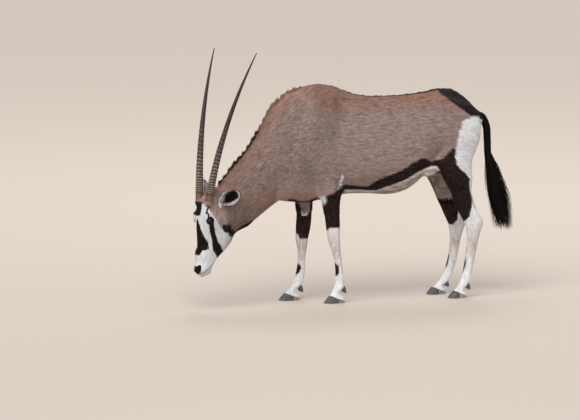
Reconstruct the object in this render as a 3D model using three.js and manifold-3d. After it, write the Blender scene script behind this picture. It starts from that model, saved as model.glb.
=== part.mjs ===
// A gemsbok (Oryx gazella) standing on four feet, its neck lowered and its muzzle held near the ground.
// Millimetres, +Z up. The animal faces -X, its left side is at -Y, and it stands on Z = 0.
// The flesh is one smooth field, made of lofts and ovals that flow into one another, and it is
// parted into torso, neck, head and legs by thin cuts. Horns, eyes, ears and claws are set on it.

import * as THREE from "three";
import { mergeVertices } from "three/addons/utils/BufferGeometryUtils.js";
import Module from "manifold-3d";

const wasm = await Module();
wasm.setup();

// Driving sizes

const GAP = 0.3; // between neighbouring nodes
const HORN_LENGTH = 866;
const HORN_BASE_RADIUS = 22.5;
const HORN_TIP_RADIUS = 2.2;
const HORN_RINGS = 17;
const HORN_RINGED_SHARE = 0.5; // of the length, from the base
const HORN_LEAN = 4.5; // degrees back from the line of the face, at the base
const HORN_SWEEP = 170; // how far the tips bend back from that line
const HORN_SPREAD = 7.6; // degrees out from the midline, each, at the base
const HORN_BOW = 30; // how far the tips bend out from that line
const EYE_RADIUS = 20;
const LID_THICKNESS = 3.2;
const EAR_LENGTH = 152;
const EAR_WIDTH = 88;
const EAR_THICKNESS = 5;
const CORONET_FRONT = 38; // height of the hair's edge over the front of a claw, this far behind its toe
const CORONET_HEEL = 7; // height of that edge at the heel
const TUFT_LOCKS = 14;
const MANE_LOCKS = 24;

// Side of a piece: the left is at -Y and the right at +Y
const LEFT = -1;
const RIGHT = 1;

// Smooth curves through rows of stations

// Rows of [position, value, value, ...] as a function of position, with a smooth curve through each value
function smoothRows(rows) {
  const slopes = rows.map((row, i) => {
    const before = rows[Math.max(i - 1, 0)];
    const after = rows[Math.min(i + 1, rows.length - 1)];
    return row.map((_, c) => (after[c] - before[c]) / (after[0] - before[0]));
  });
  return (position) => {
    const s = THREE.MathUtils.clamp(position, rows[0][0], rows[rows.length - 1][0]);
    let i = 0;
    while (i < rows.length - 2 && rows[i + 1][0] < s) i += 1;
    const [a, b] = [rows[i], rows[i + 1]];
    const span = b[0] - a[0];
    const t = (s - a[0]) / span;
    const [t2, t3] = [t * t, t * t * t];
    return a.map(
      (_, c) =>
        a[c] * (2 * t3 - 3 * t2 + 1) +
        b[c] * (3 * t2 - 2 * t3) +
        slopes[i][c] * span * (t3 - 2 * t2 + t) +
        slopes[i + 1][c] * span * (t3 - t2),
    );
  };
}

// A smooth function as a table with even steps, which is quicker to look up
function tabled(rows, steps = 240) {
  const curve = smoothRows(rows);
  const [low, high] = [rows[0][0], rows[rows.length - 1][0]];
  const table = Array.from({ length: steps + 1 }, (_, i) => curve(low + ((high - low) * i) / steps));
  return (position) => {
    const x = THREE.MathUtils.clamp(((position - low) / (high - low)) * steps, 0, steps - 1e-6);
    const i = Math.floor(x);
    return table[i].map((v, c) => v + (table[i + 1][c] - v) * (x - i));
  };
}

// Fields: each is negative inside and about the distance in millimetres near its surface

// A frame gives a point's local coordinates: along, up and across
const frameOf = (origin, along, up, across) => ({
  origin: new THREE.Vector3(...origin),
  along: new THREE.Vector3(...along).normalize(),
  up: new THREE.Vector3(...up).normalize(),
  across: new THREE.Vector3(...across).normalize(),
});

function localOf(frame, x, y, z) {
  const [dx, dy, dz] = [x - frame.origin.x, y - frame.origin.y, z - frame.origin.z];
  const part = (v) => dx * v.x + dy * v.y + dz * v.z;
  return [part(frame.along), part(frame.up), part(frame.across)];
}

function worldOf(frame, along, up, across) {
  return frame.origin
    .clone()
    .addScaledVector(frame.along, along)
    .addScaledVector(frame.up, up)
    .addScaledVector(frame.across, across);
}

// A body of oval sections. Stations are [along, low, high, across, half width, taper], and a positive
// taper makes the section narrower towards high.
function loft(frame, stations) {
  const at = tabled(stations);
  const [first, last] = [stations[0][0], stations[stations.length - 1][0]];
  return (x, y, z) => {
    const [s, f, g] = localOf(frame, x, y, z);
    const [, low, high, side, half, taper = 0] = at(s);
    const [middle, depth] = [(low + high) / 2, (high - low) / 2];
    const p = (f - middle) / depth;
    const width = half * (1 - taper * THREE.MathUtils.clamp(p, -1, 1));
    const q = (g - side) / width;
    const reach = Math.hypot(p, q);
    const steepness = Math.hypot(p / depth, q / width) / Math.max(reach, 1e-6);
    const radial = reach < 1e-6 ? -Math.min(depth, width) : (reach - 1) / steepness;
    const beyond = Math.max(first - s, s - last, 0);
    return beyond > 0 ? Math.hypot(Math.max(radial, 0), beyond) + Math.min(radial, 0) * 0.5 : radial;
  };
}

// An oval with radii along its frame's three directions
function oval(frame, radii) {
  return (x, y, z) => {
    const p = localOf(frame, x, y, z);
    const reach = Math.hypot(p[0] / radii[0], p[1] / radii[1], p[2] / radii[2]);
    const steepness = Math.hypot(p[0] / radii[0] ** 2, p[1] / radii[1] ** 2, p[2] / radii[2] ** 2);
    return steepness < 1e-9 ? -Math.min(...radii) : (reach * (reach - 1)) / steepness;
  };
}

function smoothUnion(a, b, k) {
  const h = Math.max(k - Math.abs(a - b), 0) / k;
  return Math.min(a, b) - (h * h * k) / 4;
}

const smoothCut = (a, b, k) => -smoothUnion(-a, b, k);

// Frames of the animal's parts

const BODY = frameOf([0, 0, 0], [1, 0, 0], [0, 0, 1], [0, 1, 0]);
const UPRIGHT = frameOf([0, 0, 0], [0, 0, 1], [1, 0, 0], [0, 1, 0]);
const NECK = frameOf([-500, 0, 930], [-0.765, -0.204, -0.611], [-0.59, -0.157, 0.792], [-0.2576, 0.966, 0]);
// The head hangs with the line of its nose upright, turned 24 degrees to the animal's left.
// Along is up from the lips to the horns, up is out from the face, across is to the animal's left.
const HEAD = frameOf([-1168, -190, 200], [0, 0, 1], [-0.9135, -0.4067, 0], [0.4067, -0.9135, 0]);

// An oval's frame, turned in the animal's upright plane: a positive tilt leans its top towards the tail
function tilted(x, y, z, tilt) {
  const a = THREE.MathUtils.degToRad(tilt);
  return frameOf([x, y, z], [Math.cos(a), 0, -Math.sin(a)], [Math.sin(a), 0, Math.cos(a)], [0, 1, 0]);
}

function onHead(up, out, left, tilt = 0) {
  const a = THREE.MathUtils.degToRad(tilt);
  const along = HEAD.along.clone().multiplyScalar(Math.cos(a)).addScaledVector(HEAD.up, Math.sin(a));
  const outward = HEAD.up.clone().multiplyScalar(Math.cos(a)).addScaledVector(HEAD.along, -Math.sin(a));
  return { origin: worldOf(HEAD, up, out, left), along, up: outward, across: HEAD.across };
}

// The torso: [x, belly, back, middle, half width, taper]
const torsoStations = [
  [-650, 790, 980, 0, 40, 0.1],
  [-625, 690, 1090, 0, 82, 0.2],
  [-575, 610, 1160, 0, 116, 0.3],
  [-500, 572, 1200, 0, 140, 0.4],
  [-412, 578, 1216, 0, 162, 0.42],
  [-330, 596, 1208, 0, 180, 0.36],
  [-265, 604, 1192, 0, 193, 0.3],
  [-128, 603, 1158, 0, 210, 0.22],
  [0, 594, 1152, 0, 217, 0.2],
  [83, 606, 1153, 0, 216, 0.2],
  [160, 650, 1159, 0, 208, 0.2],
  [230, 732, 1167, 0, 194, 0.2],
  [300, 800, 1180, 0, 180, 0.22],
  [350, 826, 1182, 0, 170, 0.25],
  [409, 830, 1170, 0, 152, 0.28],
  [475, 870, 1126, 0, 116, 0.25],
  [522, 920, 1078, 0, 76, 0.15],
  [556, 970, 1030, 0, 30, 0],
];

// The neck, from inside the shoulders to inside the head: [along, throat, crest, middle, half width, taper]
const neckStations = [
  [-60, -320, 255, 0, 120, 0.3],
  [30, -318, 264, 0, 118, 0.3],
  [100, -276, 250, 0, 110, 0.3],
  [200, -214, 212, 0, 98, 0.28],
  [300, -181, 186, 0, 89, 0.25],
  [400, -162, 170, 2, 83, 0.25],
  [500, -156, 157, 6, 79, 0.2],
  [600, -154, 134, 12, 74, 0.1],
  [700, -100, 70, 10, 55, 0],
];

// The head: [up, back, face, middle, half width, taper]
const headStations = [
  [-2, -52, -14, 0, 14, 0],
  [8, -76, 1, 0, 30, 0],
  [24, -88, 7, 0, 41, -0.05],
  [45, -95, 8, 0, 45, 0],
  [70, -109, 4, 0, 43, 0.1],
  [95, -141, 1, 0, 41, 0.18],
  [130, -192, 0, 0, 42, 0.22],
  [170, -236, 0, 0, 48, 0.2],
  [210, -258, -1, 0, 56, 0.1],
  [250, -270, -2, 0, 64, 0],
  [290, -263, -2, 0, 70, -0.1],
  [320, -244, 0, 0, 71, -0.14],
  [350, -228, 1, 0, 68, -0.14],
  [385, -212, -6, 0, 62, -0.1],
  [415, -182, -20, 0, 56, 0],
  [445, -168, -46, 0, 47, 0],
  [468, -145, -80, 0, 30, 0],
];

// The legs, from the heel's bulbs up into the body: [height, front, back, middle, half width]
const legStations = {
  fore_left: [
    [4, -310, -281, -104, 26],
    [14, -332, -276, -104, 29],
    [26, -354, -275, -104, 31],
    [38, -361, -285, -104, 29],
    [58, -352, -301, -104, 27],
    [92, -335, -278, -105, 30],
    [125, -329, -280, -105, 25],
    [185, -329, -285, -105, 21.5],
    [243, -335, -292, -105, 21.5],
    [295, -350, -299, -105, 26],
    [356, -371, -302, -106, 31],
    [425, -384, -303, -108, 31],
    [494, -395, -306, -112, 35],
    [552, -408, -308, -118, 41],
    [610, -425, -303, -124, 47],
    [680, -455, -288, -128, 52],
    [760, -480, -290, -124, 55],
    [840, -480, -320, -110, 45],
  ],
  fore_right: [
    [4, -512, -483, 92, 26],
    [14, -534, -478, 92, 29],
    [26, -556, -477, 92, 31],
    [38, -564, -487, 92, 29],
    [56, -548, -497, 92, 27],
    [93, -521, -461, 92, 30],
    [143, -501, -449, 92, 25],
    [198, -490, -445, 92, 21.5],
    [245, -487, -443, 92, 21.5],
    [290, -489, -435, 93, 26],
    [347, -499, -426, 94, 31],
    [412, -497, -411, 97, 31],
    [482, -492, -402, 102, 35],
    [555, -496, -396, 108, 41],
    [610, -502, -384, 115, 47],
    [680, -515, -355, 122, 52],
    [760, -525, -345, 122, 55],
    [840, -510, -355, 110, 45],
  ],
  hind_left: [
    [4, 416, 445, -103, 26],
    [14, 394, 450, -103, 29],
    [26, 372, 451, -103, 31],
    [38, 377, 441, -103, 29],
    [54, 391, 443, -103, 27],
    [88, 411, 471, -103, 30],
    [127, 424, 481, -103, 26],
    [206, 440, 497, -104, 23],
    [286, 449, 512, -105, 24],
    [361, 452, 530, -107, 28],
    [402, 446, 543, -108, 31],
    [437, 430, 546, -109, 32],
    [465, 415, 532, -110, 31],
    [491, 400, 515, -111, 31],
    [549, 371, 489, -115, 37],
    [618, 343, 474, -121, 47],
    [690, 300, 478, -126, 58],
    [760, 278, 474, -124, 64],
    [840, 274, 486, -116, 68],
    [920, 280, 500, -106, 70],
    [1000, 300, 510, -92, 66],
    [1080, 334, 470, -70, 52],
  ],
  hind_right: [
    [4, 358, 387, 92, 26],
    [14, 336, 392, 92, 29],
    [26, 314, 393, 92, 31],
    [38, 315, 383, 92, 29],
    [50, 330, 382, 92, 27],
    [79, 357, 417, 92, 30],
    [129, 384, 438, 92, 26],
    [202, 406, 462, 93, 23],
    [265, 417, 474, 94, 24],
    [335, 420, 490, 95, 28],
    [385, 414, 508, 97, 31],
    [425, 399, 516, 99, 32],
    [455, 385, 502, 101, 31],
    [485, 372, 486, 103, 31],
    [545, 345, 463, 108, 37],
    [618, 315, 457, 116, 47],
    [690, 280, 467, 122, 58],
    [760, 268, 468, 122, 64],
    [840, 268, 482, 116, 68],
    [920, 278, 498, 106, 70],
    [1000, 300, 510, 92, 66],
    [1080, 334, 470, 70, 52],
  ],
};

// Muscle and bone that shape the body on both sides: [x, from the middle, z, tilt, radii, softness]
const bodyForms = [
  [-425, 108, 985, 22, [78, 185, 52], 70],
  [-515, 92, 800, 0, [72, 88, 62], 70],
  [-385, 122, 800, -30, [118, 92, 50], 60],
  [330, 118, 1085, 0, [52, 48, 44], 60],
  [410, 118, 935, 12, [118, 170, 70], 70],
  [252, 148, 760, -40, [84, 30, 22], 46],
  [478, 74, 985, 10, [46, 70, 44], 36],
];
const withersForm = oval(tilted(-400, 0, 1130, 0), [150, 84, 52]);
const breastForm = oval(tilted(-560, 0, 688, -35), [105, 82, 92]);
const tailRoot = oval(tilted(540, 0, 1024, 35), [58, 30, 30]);

// Forms of the head, on both sides: [up, out, left, tilt, radii, softness]
const headForms = [
  [331, -34, 55, 0, [26, 18, 17], 16],
  [292, -62, 58, 40, [44, 20, 14], 22],
  [222, -140, 42, 0, [62, 58, 22], 34],
  [110, -52, 30, 0, [52, 44, 16], 26],
  [404, -48, 34, -15, [26, 31, 31], 18],
  [36, -14, 24, 0, [20, 17, 17], 14],
];
const chinForm = oval(onHead(20, -62, 0, 30), [24, 26, 30]);
const noseForm = oval(onHead(34, -14, 0, 0), [28, 18, 30]);

const EYE_AT = { up: 309, out: -44, left: 49 };
const EYE_LOOKS = [0.05, 0.34, 0.94]; // the way an eye faces: up, out and to its own side
const NOSTRIL = { up: 38, out: 2, left: 24 };
const MOUTH_CORNER = [62, -74];
const LIP_FRONT = [10, 4];

// The flesh, all but the ears

const legFields = Object.values(legStations).map((stations) => loft(UPRIGHT, stations));
const pairedBody = [];
for (const side of [LEFT, RIGHT])
  for (const [x, y, z, tilt, radii, softness] of bodyForms)
    pairedBody.push([oval(tilted(x, y * side, z, tilt), radii), softness]);
const pairedHead = [];
for (const side of [LEFT, RIGHT])
  for (const [up, out, left, tilt, radii, softness] of headForms)
    pairedHead.push([oval(onHead(up, out, -left * side, tilt), radii), softness]);

// An eye's own frame: along is up the face, up is the way it looks
function eyeFrame(side) {
  const [up, out, sideways] = EYE_LOOKS;
  const looks = new THREE.Vector3()
    .addScaledVector(HEAD.along, up)
    .addScaledVector(HEAD.up, out)
    .addScaledVector(HEAD.across, -sideways * side)
    .normalize();
  const across = new THREE.Vector3().crossVectors(HEAD.along, looks).normalize();
  const along = new THREE.Vector3().crossVectors(looks, across);
  return { origin: worldOf(HEAD, EYE_AT.up, EYE_AT.out, -EYE_AT.left * side), along, up: looks, across };
}

const sockets = [LEFT, RIGHT].map((side) => {
  const frame = eyeFrame(side);
  return oval({ ...frame, origin: worldOf(frame, 0, EYE_RADIUS + 8, 0) }, [29, 12, 30]);
});

const torsoField = loft(BODY, torsoStations);
const neckField = loft(NECK, neckStations);
const skullField = loft(HEAD, headStations);

function headFlesh(x, y, z) {
  let f = smoothUnion(skullField(x, y, z), chinForm(x, y, z), 14);
  f = smoothUnion(f, noseForm(x, y, z), 14);
  for (const [form, softness] of pairedHead) f = smoothUnion(f, form(x, y, z), softness);
  for (const socket of sockets) f = smoothCut(f, socket(x, y, z), 10);
  return f;
}

function flesh(x, y, z) {
  const nearHead = x < -850;
  let f = x > -800 ? torsoField(x, y, z) : 1e3;
  if (x < -300) {
    f = smoothUnion(f, neckField(x, y, z), 110);
    f = smoothUnion(f, breastForm(x, y, z), 70);
  }
  if (!nearHead) {
    f = smoothUnion(f, withersForm(x, y, z), 60);
    for (const [form, softness] of pairedBody) f = smoothUnion(f, form(x, y, z), softness);
    f = smoothUnion(f, tailRoot(x, y, z), 30);
    for (const leg of legFields) f = smoothUnion(f, leg(x, y, z), 34);
  }
  if (x < -780) f = smoothUnion(f, headFlesh(x, y, z), 40);
  return f;
}

// Solids

const asSolid = (geometry) => {
  const bare = geometry.clone();
  bare.deleteAttribute("normal");
  bare.deleteAttribute("uv");
  const merged = mergeVertices(bare, 1e-3);
  return new wasm.Manifold(
    new wasm.Mesh({
      numProp: 3,
      vertProperties: new Float32Array(merged.attributes.position.array),
      triVerts: new Uint32Array(merged.index.array),
    }),
  );
};

function asGeometry(solid) {
  const mesh = solid.getMesh();
  return new THREE.BufferGeometry()
    .setAttribute("position", new THREE.BufferAttribute(new Float32Array(mesh.vertProperties), 3))
    .setIndex(new THREE.BufferAttribute(new Uint32Array(mesh.triVerts), 1));
}

// Rows of points, each row a closed ring, as a closed solid with flat or pointed ends
function solidOfRings(rings) {
  const around = rings[0].length;
  const middle = (ring) => ring.reduce((sum, p) => sum.add(p), new THREE.Vector3()).divideScalar(around);
  const points = [...rings.flat(), middle(rings[0]), middle(rings[rings.length - 1])];
  const [firstPole, lastPole] = [points.length - 2, points.length - 1];
  const faces = [];
  for (let i = 0; i < around; i += 1) {
    const j = (i + 1) % around;
    faces.push(firstPole, j, i);
    const end = (rings.length - 1) * around;
    faces.push(lastPole, end + i, end + j);
    for (let r = 0; r < rings.length - 1; r += 1) {
      const [a, b] = [r * around, (r + 1) * around];
      faces.push(a + i, a + j, b + j, a + i, b + j, b + i);
    }
  }
  const geometry = new THREE.BufferGeometry()
    .setAttribute("position", new THREE.Float32BufferAttribute(points.flatMap((p) => p.toArray()), 3))
    .setIndex(faces);
  const solid = asSolid(geometry);
  return solid.volume() > 0 ? solid : asSolid(geometry.setIndex(faces.reverse()));
}

// The farthest part of a cut solid that hangs together
const largestOf = (solid) =>
  solid.decompose().reduce((best, piece) => (piece.volume() > best.volume() ? piece : best));

// Distance from start along direction to where the field reaches the level
function reachOf(field, start, direction, level, limit, step) {
  let low = 0;
  for (let high = step; high <= limit; high += step) {
    const p = start.clone().addScaledVector(direction, high);
    if (field(p.x, p.y, p.z) > level) {
      let far = high;
      for (let i = 0; i < 18; i += 1) {
        const mid = (low + far) / 2;
        const q = start.clone().addScaledVector(direction, mid);
        if (field(q.x, q.y, q.z) > level) far = mid;
        else low = mid;
      }
      return low;
    }
    low = high;
  }
  return limit;
}

// Rings of points where rays from each slice's centre leave the field. A slice is
// {centre, a, b, wide, deep, limit}: a and b are directions in its plane, and wide and deep space the rays.
function castRings(field, slices, around, level = 0) {
  return slices.map(({ centre, a, b, wide, deep, limit }) =>
    Array.from({ length: around }, (_, i) => {
      const angle = (2 * Math.PI * i) / around;
      const direction = new THREE.Vector3()
        .addScaledVector(a, Math.cos(angle) * wide)
        .addScaledVector(b, Math.sin(angle) * deep)
        .normalize();
      return centre.clone().addScaledVector(direction, reachOf(field, centre, direction, level, limit, 6));
    }),
  );
}

// Where two folds of a surface touch along an edge, moves their points a little apart
function parted(solid) {
  const mesh = solid.getMesh();
  const points = Float32Array.from(mesh.vertProperties);
  const faces = Uint32Array.from(mesh.triVerts);
  const count = points.length / 3;
  const sums = Array.from({ length: count }, () => new THREE.Vector3());
  const shares = new Float32Array(count);
  const pointAt = (i) => new THREE.Vector3().fromArray(points, 3 * i);
  faces.forEach((vertex, corner) => {
    const first = corner - (corner % 3);
    for (let c = first; c < first + 3; c += 1) sums[vertex].add(pointAt(faces[c]));
    shares[vertex] += 3;
  });
  const groups = new Map();
  for (let i = 0; i < count; i += 1) {
    const key = pointAt(i).multiplyScalar(50).round().toArray().join();
    groups.set(key, [...(groups.get(key) ?? []), i]);
  }
  for (const group of groups.values())
    if (group.length > 1)
      for (const i of group) pointAt(i).lerp(sums[i].divideScalar(shares[i]), 0.06).toArray(points, 3 * i);
  return new wasm.Manifold(new wasm.Mesh({ numProp: 3, vertProperties: points, triVerts: faces }));
}

// Moves a point onto the field's level, unless it lies at the side of the box
function settle(field, point, level, low, high, cell) {
  const p = point.toArray();
  if (p.some((v, axis) => v < low[axis] + 1.2 * cell[axis] || v > high[axis] - 1.2 * cell[axis])) return;
  for (let i = 0; i < 3; i += 1) {
    const [x, y, z] = point.toArray();
    const here = field(x, y, z) - level;
    const slope = new THREE.Vector3(
      field(x + 1, y, z) - field(x - 1, y, z),
      field(x, y + 1, z) - field(x, y - 1, z),
      field(x, y, z + 1) - field(x, y, z - 1),
    ).multiplyScalar(0.5);
    const step = -here / Math.max(slope.lengthSq(), 0.2);
    point.addScaledVector(slope, THREE.MathUtils.clamp(step, -0.4 * cell[0], 0.4 * cell[0]));
  }
}

// The surface of a field inside a box of cells, as one closed solid: one point for each cell that the
// surface crosses, moved onto the surface, and one face for each grid edge that it crosses
function netOf(field, low, high, cell, level = 0) {
  const counts = low.map((v, i) => Math.ceil((high[i] - v) / cell[i]));
  const [nx, ny, nz] = counts.map((n) => n + 1);
  const inside = (i, j, k) => i > 0 && j > 0 && k > 0 && i < nx - 1 && j < ny - 1 && k < nz - 1;
  const corner = (i, j, k) => [low[0] + i * cell[0], low[1] + j * cell[1], low[2] + k * cell[2]];
  const values = new Float32Array(nx * ny * nz).fill(1e3);
  const index = (i, j, k) => (k * ny + j) * nx + i;
  for (let k = 0; k < nz; k += 1)
    for (let j = 0; j < ny; j += 1)
      for (let i = 0; i < nx; i += 1)
        if (inside(i, j, k)) values[index(i, j, k)] = field(...corner(i, j, k)) - level;
  const points = [];
  const pointOf = new Map();
  const cellPoint = (i, j, k) => {
    const key = index(i, j, k);
    if (pointOf.has(key)) return pointOf.get(key);
    const sum = new THREE.Vector3();
    let crossings = 0;
    for (let c = 0; c < 8; c += 1)
      for (let axis = 0; axis < 3; axis += 1) {
        if ((c >> axis) & 1) continue;
        const d = c | (1 << axis);
        const at = (m) => [i + (m & 1), j + ((m >> 1) & 1), k + ((m >> 2) & 1)];
        const [va, vb] = [values[index(...at(c))], values[index(...at(d))]];
        if (va < 0 === vb < 0) continue;
        const [pa, pb] = [new THREE.Vector3(...corner(...at(c))), new THREE.Vector3(...corner(...at(d)))];
        sum.add(pa.lerp(pb, va / (va - vb)));
        crossings += 1;
      }
    points.push(sum.divideScalar(crossings));
    pointOf.set(key, points.length - 1);
    return points.length - 1;
  };
  const faces = [];
  const addFace = (cells, flip) => {
    const [a, b, c, d] = cells.map((at) => cellPoint(...at));
    faces.push(...(flip ? [a, c, b, a, d, c] : [a, b, c, a, c, d]));
  };
  for (let k = 0; k < nz - 1; k += 1)
    for (let j = 0; j < ny - 1; j += 1)
      for (let i = 0; i < nx - 1; i += 1) {
        const here = values[index(i, j, k)] < 0;
        if (here !== values[index(i + 1, j, k)] < 0)
          addFace([[i, j - 1, k - 1], [i, j, k - 1], [i, j, k], [i, j - 1, k]], !here);
        if (here !== values[index(i, j + 1, k)] < 0)
          addFace([[i - 1, j, k - 1], [i - 1, j, k], [i, j, k], [i, j, k - 1]], !here);
        if (here !== values[index(i, j, k + 1)] < 0)
          addFace([[i - 1, j - 1, k], [i, j - 1, k], [i, j, k], [i - 1, j, k]], !here);
      }
  for (const point of points) settle(field, point, level, low, high, cell);
  const geometry = new THREE.BufferGeometry()
    .setAttribute("position", new THREE.Float32BufferAttribute(points.flatMap((p) => p.toArray()), 3))
    .setIndex(faces);
  return parted(asSolid(geometry));
}

// A plane as {normal, at}: the side that the normal points to is kept, half a gap away from the plane
const cutBy = (solid, plane, side) =>
  solid.trimByPlane(
    plane.normal.clone().multiplyScalar(side).toArray(),
    side * plane.normal.dot(plane.at) + GAP / 2,
  );

function boxSolid(low, high) {
  const size = high.map((v, i) => v - low[i]);
  const geometry = new THREE.BoxGeometry(...size).translate(...low.map((v, i) => v + size[i] / 2));
  return asSolid(geometry);
}

// Where the flesh is parted

const SHOULDER_CUT = { normal: new THREE.Vector3(-0.97, 0, -0.243), at: new THREE.Vector3(-620, 0, 880) };
const POLL_CUT = { normal: NECK.along.clone(), at: worldOf(NECK, 560, 0, 0) };
const FORE_CUT_HEIGHT = 542;
const HIND_CUT_HEIGHT = 640;
const HIND_CUT_FRONT = 190;

function torsoSolid() {
  const whole = netOf(flesh, [-760, -268, 500], [680, 268, 1290], [42, 40, 38]);
  const under = boxSolid([HIND_CUT_FRONT, -400, 300], [900, 400, HIND_CUT_HEIGHT + GAP / 2]);
  const floor = { normal: new THREE.Vector3(0, 0, 1), at: new THREE.Vector3(0, 0, FORE_CUT_HEIGHT) };
  return largestOf(cutBy(cutBy(whole, SHOULDER_CUT, -1), floor, 1).subtract(under));
}

// Heights of a leg's rings: closer together at the joints
function legHeights(top, lowest) {
  const count = 27;
  return Array.from({ length: count }, (_, i) => {
    const t = i / (count - 1);
    return lowest + (top - lowest) * (0.72 * t + 0.28 * t * t);
  });
}

// The plane between a foot's hair and its claws, which falls from the front of the claws to the heel
function coronetOf(foot) {
  const { toe, heel, middle } = footSet[foot];
  const fall = (CORONET_FRONT - CORONET_HEEL) / (heel - toe - CORONET_FRONT);
  const at = new THREE.Vector3(toe + CORONET_FRONT, middle, CORONET_FRONT);
  return { normal: new THREE.Vector3(fall, 0, 1).normalize(), at };
}

// A small hoof that hangs behind the fetlock
function dewclawSolid(foot, side) {
  const { heel, middle, dewclaw } = footSet[foot];
  const rows = [[0, 4, 6], [16, 2, 12], [40, -6, 9]];
  const rings = rows.map(([above, behind, radius]) =>
    Array.from({ length: 6 }, (_, i) => {
      const angle = (Math.PI * i) / 3;
      const x = heel + dewclaw.behind + behind + Math.cos(angle) * radius;
      const y = middle + side * 17 + Math.sin(angle) * radius * 0.85;
      return new THREE.Vector3(x, y, dewclaw.height + above);
    }),
  );
  return solidOfRings(rings);
}

function legSolid(name) {
  const top = (name.startsWith("fore") ? FORE_CUT_HEIGHT : HIND_CUT_HEIGHT) - GAP / 2;
  const at = smoothRows(legStations[name]);
  const slices = legHeights(top, 5).map((height) => {
    const [, front, back, middle, half] = at(height);
    return {
      centre: new THREE.Vector3((front + back) / 2, middle, height),
      a: new THREE.Vector3(1, 0, 0),
      b: new THREE.Vector3(0, 1, 0),
      wide: back - front,
      deep: 2 * half,
      limit: back - front + 40,
    };
  });
  const leg = solidOfRings(castRings(flesh, slices, 12));
  const dewclaws = [LEFT, RIGHT].map((side) => dewclawSolid(name, side));
  return largestOf(cutBy(leg, coronetOf(name), 1).add(wasm.Manifold.union(dewclaws)));
}

// Slices that turn evenly from one plane to another about the flesh between them
function turnedSlices(starts, ends, bends, count, across, limit) {
  return Array.from({ length: count }, (_, i) => {
    const t = i / (count - 1);
    const centre = new THREE.QuadraticBezierCurve3(starts.at, bends, ends.at).getPoint(t);
    const normal = starts.normal.clone().lerp(ends.normal, t).normalize();
    const b = new THREE.Vector3().crossVectors(normal, across).normalize();
    const a = new THREE.Vector3().crossVectors(b, normal).normalize();
    return { centre, a, b, wide: 1, deep: 1.5, limit };
  });
}

function neckSolid() {
  const starts = { normal: SHOULDER_CUT.normal, at: new THREE.Vector3(-622, -22, 872) };
  const ends = { normal: NECK.along, at: worldOf(NECK, 562, 8, 8) };
  const bends = worldOf(NECK, 330, 0, 0);
  const whole = solidOfRings(castRings(flesh, turnedSlices(starts, ends, bends, 12, NECK.across, 420), 28));
  return cutBy(cutBy(whole, SHOULDER_CUT, 1), POLL_CUT, -1);
}

// The head's slices lie level up to the cheeks, and then they fan out about a point behind the throat,
// until they are square to the neck. Angles are in degrees.
const FAN_PIVOT = { up: 200, out: -392 };
const fanAngles = [2, 4.5, 7, 9.3, 11.4, 13.3, 15.1, 16.9, 18.7, 20.6, 22.6, 25, 28, 31.5, 35, 38.5, 42.5, 46.5, 50.5, 54.5];

function headSolid(level = 0) {
  const slices = [];
  const addSlice = (up, out, aside, angle) => {
    const turn = THREE.MathUtils.degToRad(angle);
    const b = HEAD.up.clone().multiplyScalar(Math.cos(turn)).addScaledVector(HEAD.along, Math.sin(turn));
    slices.push({ centre: worldOf(HEAD, up, out, aside), a: HEAD.across, b, wide: 1, deep: 1.3, limit: 330 });
  };
  for (const up of [1, 5, 12, 21, 31, 41, 52, 64, 77, 91, 106, 122, 139, 158, 178, 200])
    addSlice(up, -34 - 62 * THREE.MathUtils.smoothstep(up, 0, 200), 0, 0);
  for (const angle of fanAngles) {
    const t = angle / 54;
    const reach = 296 - 60 * t;
    const turn = THREE.MathUtils.degToRad(angle);
    const [up, out] = [FAN_PIVOT.up + reach * Math.sin(turn), FAN_PIVOT.out + reach * Math.cos(turn)];
    addSlice(up, out, 28 * t * t, angle);
  }
  const whole = solidOfRings(castRings(headAndNeck, slices, 32, level));
  return cutBy(whole, POLL_CUT, 1);
}

// An oval as a solid, in a frame
function ovalSolid(frame, radii, detail = 3) {
  const turned = new THREE.Matrix4().makeBasis(frame.along, frame.up, frame.across).setPosition(frame.origin);
  const ball = new THREE.IcosahedronGeometry(1, detail).scale(...radii);
  const solid = asSolid(ball.applyMatrix4(turned));
  return solid;
}

// The groove between the lips, from one corner of the mouth round the front to the other
function mouthSolid() {
  const rows = 17;
  const [cornerUp, cornerOut] = MOUTH_CORNER;
  const [lipUp, lipOut] = LIP_FRONT;
  const rings = Array.from({ length: rows }, (_, r) => {
    const angle = THREE.MathUtils.degToRad(-132 + (264 * r) / (rows - 1));
    const at = (share, lift) => {
      const out = -34 + 38 * Math.cos(angle) * share;
      const t = THREE.MathUtils.clamp((out - lipOut) / (cornerOut - lipOut), 0, 1);
      return worldOf(HEAD, lipUp + (cornerUp - lipUp) * t ** 1.5 + lift, out, 42 * Math.sin(angle) * share);
    };
    return [at(0.84, -0.7), at(1.4, -2.2), at(1.4, 2.2), at(0.84, 0.7)];
  });
  return solidOfRings(rings);
}

function headAndNeck(x, y, z) {
  return smoothUnion(neckField(x, y, z), headFlesh(x, y, z), 40);
}

// Eyes, horns and ears

function eyeSolid(side, extra = 0) {
  const frame = eyeFrame(side);
  const geometry = new THREE.IcosahedronGeometry(EYE_RADIUS + extra, 2);
  return asSolid(geometry.translate(...frame.origin.toArray()));
}

const HORN_BASE = { up: 390, out: -46, left: 35 };

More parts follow.
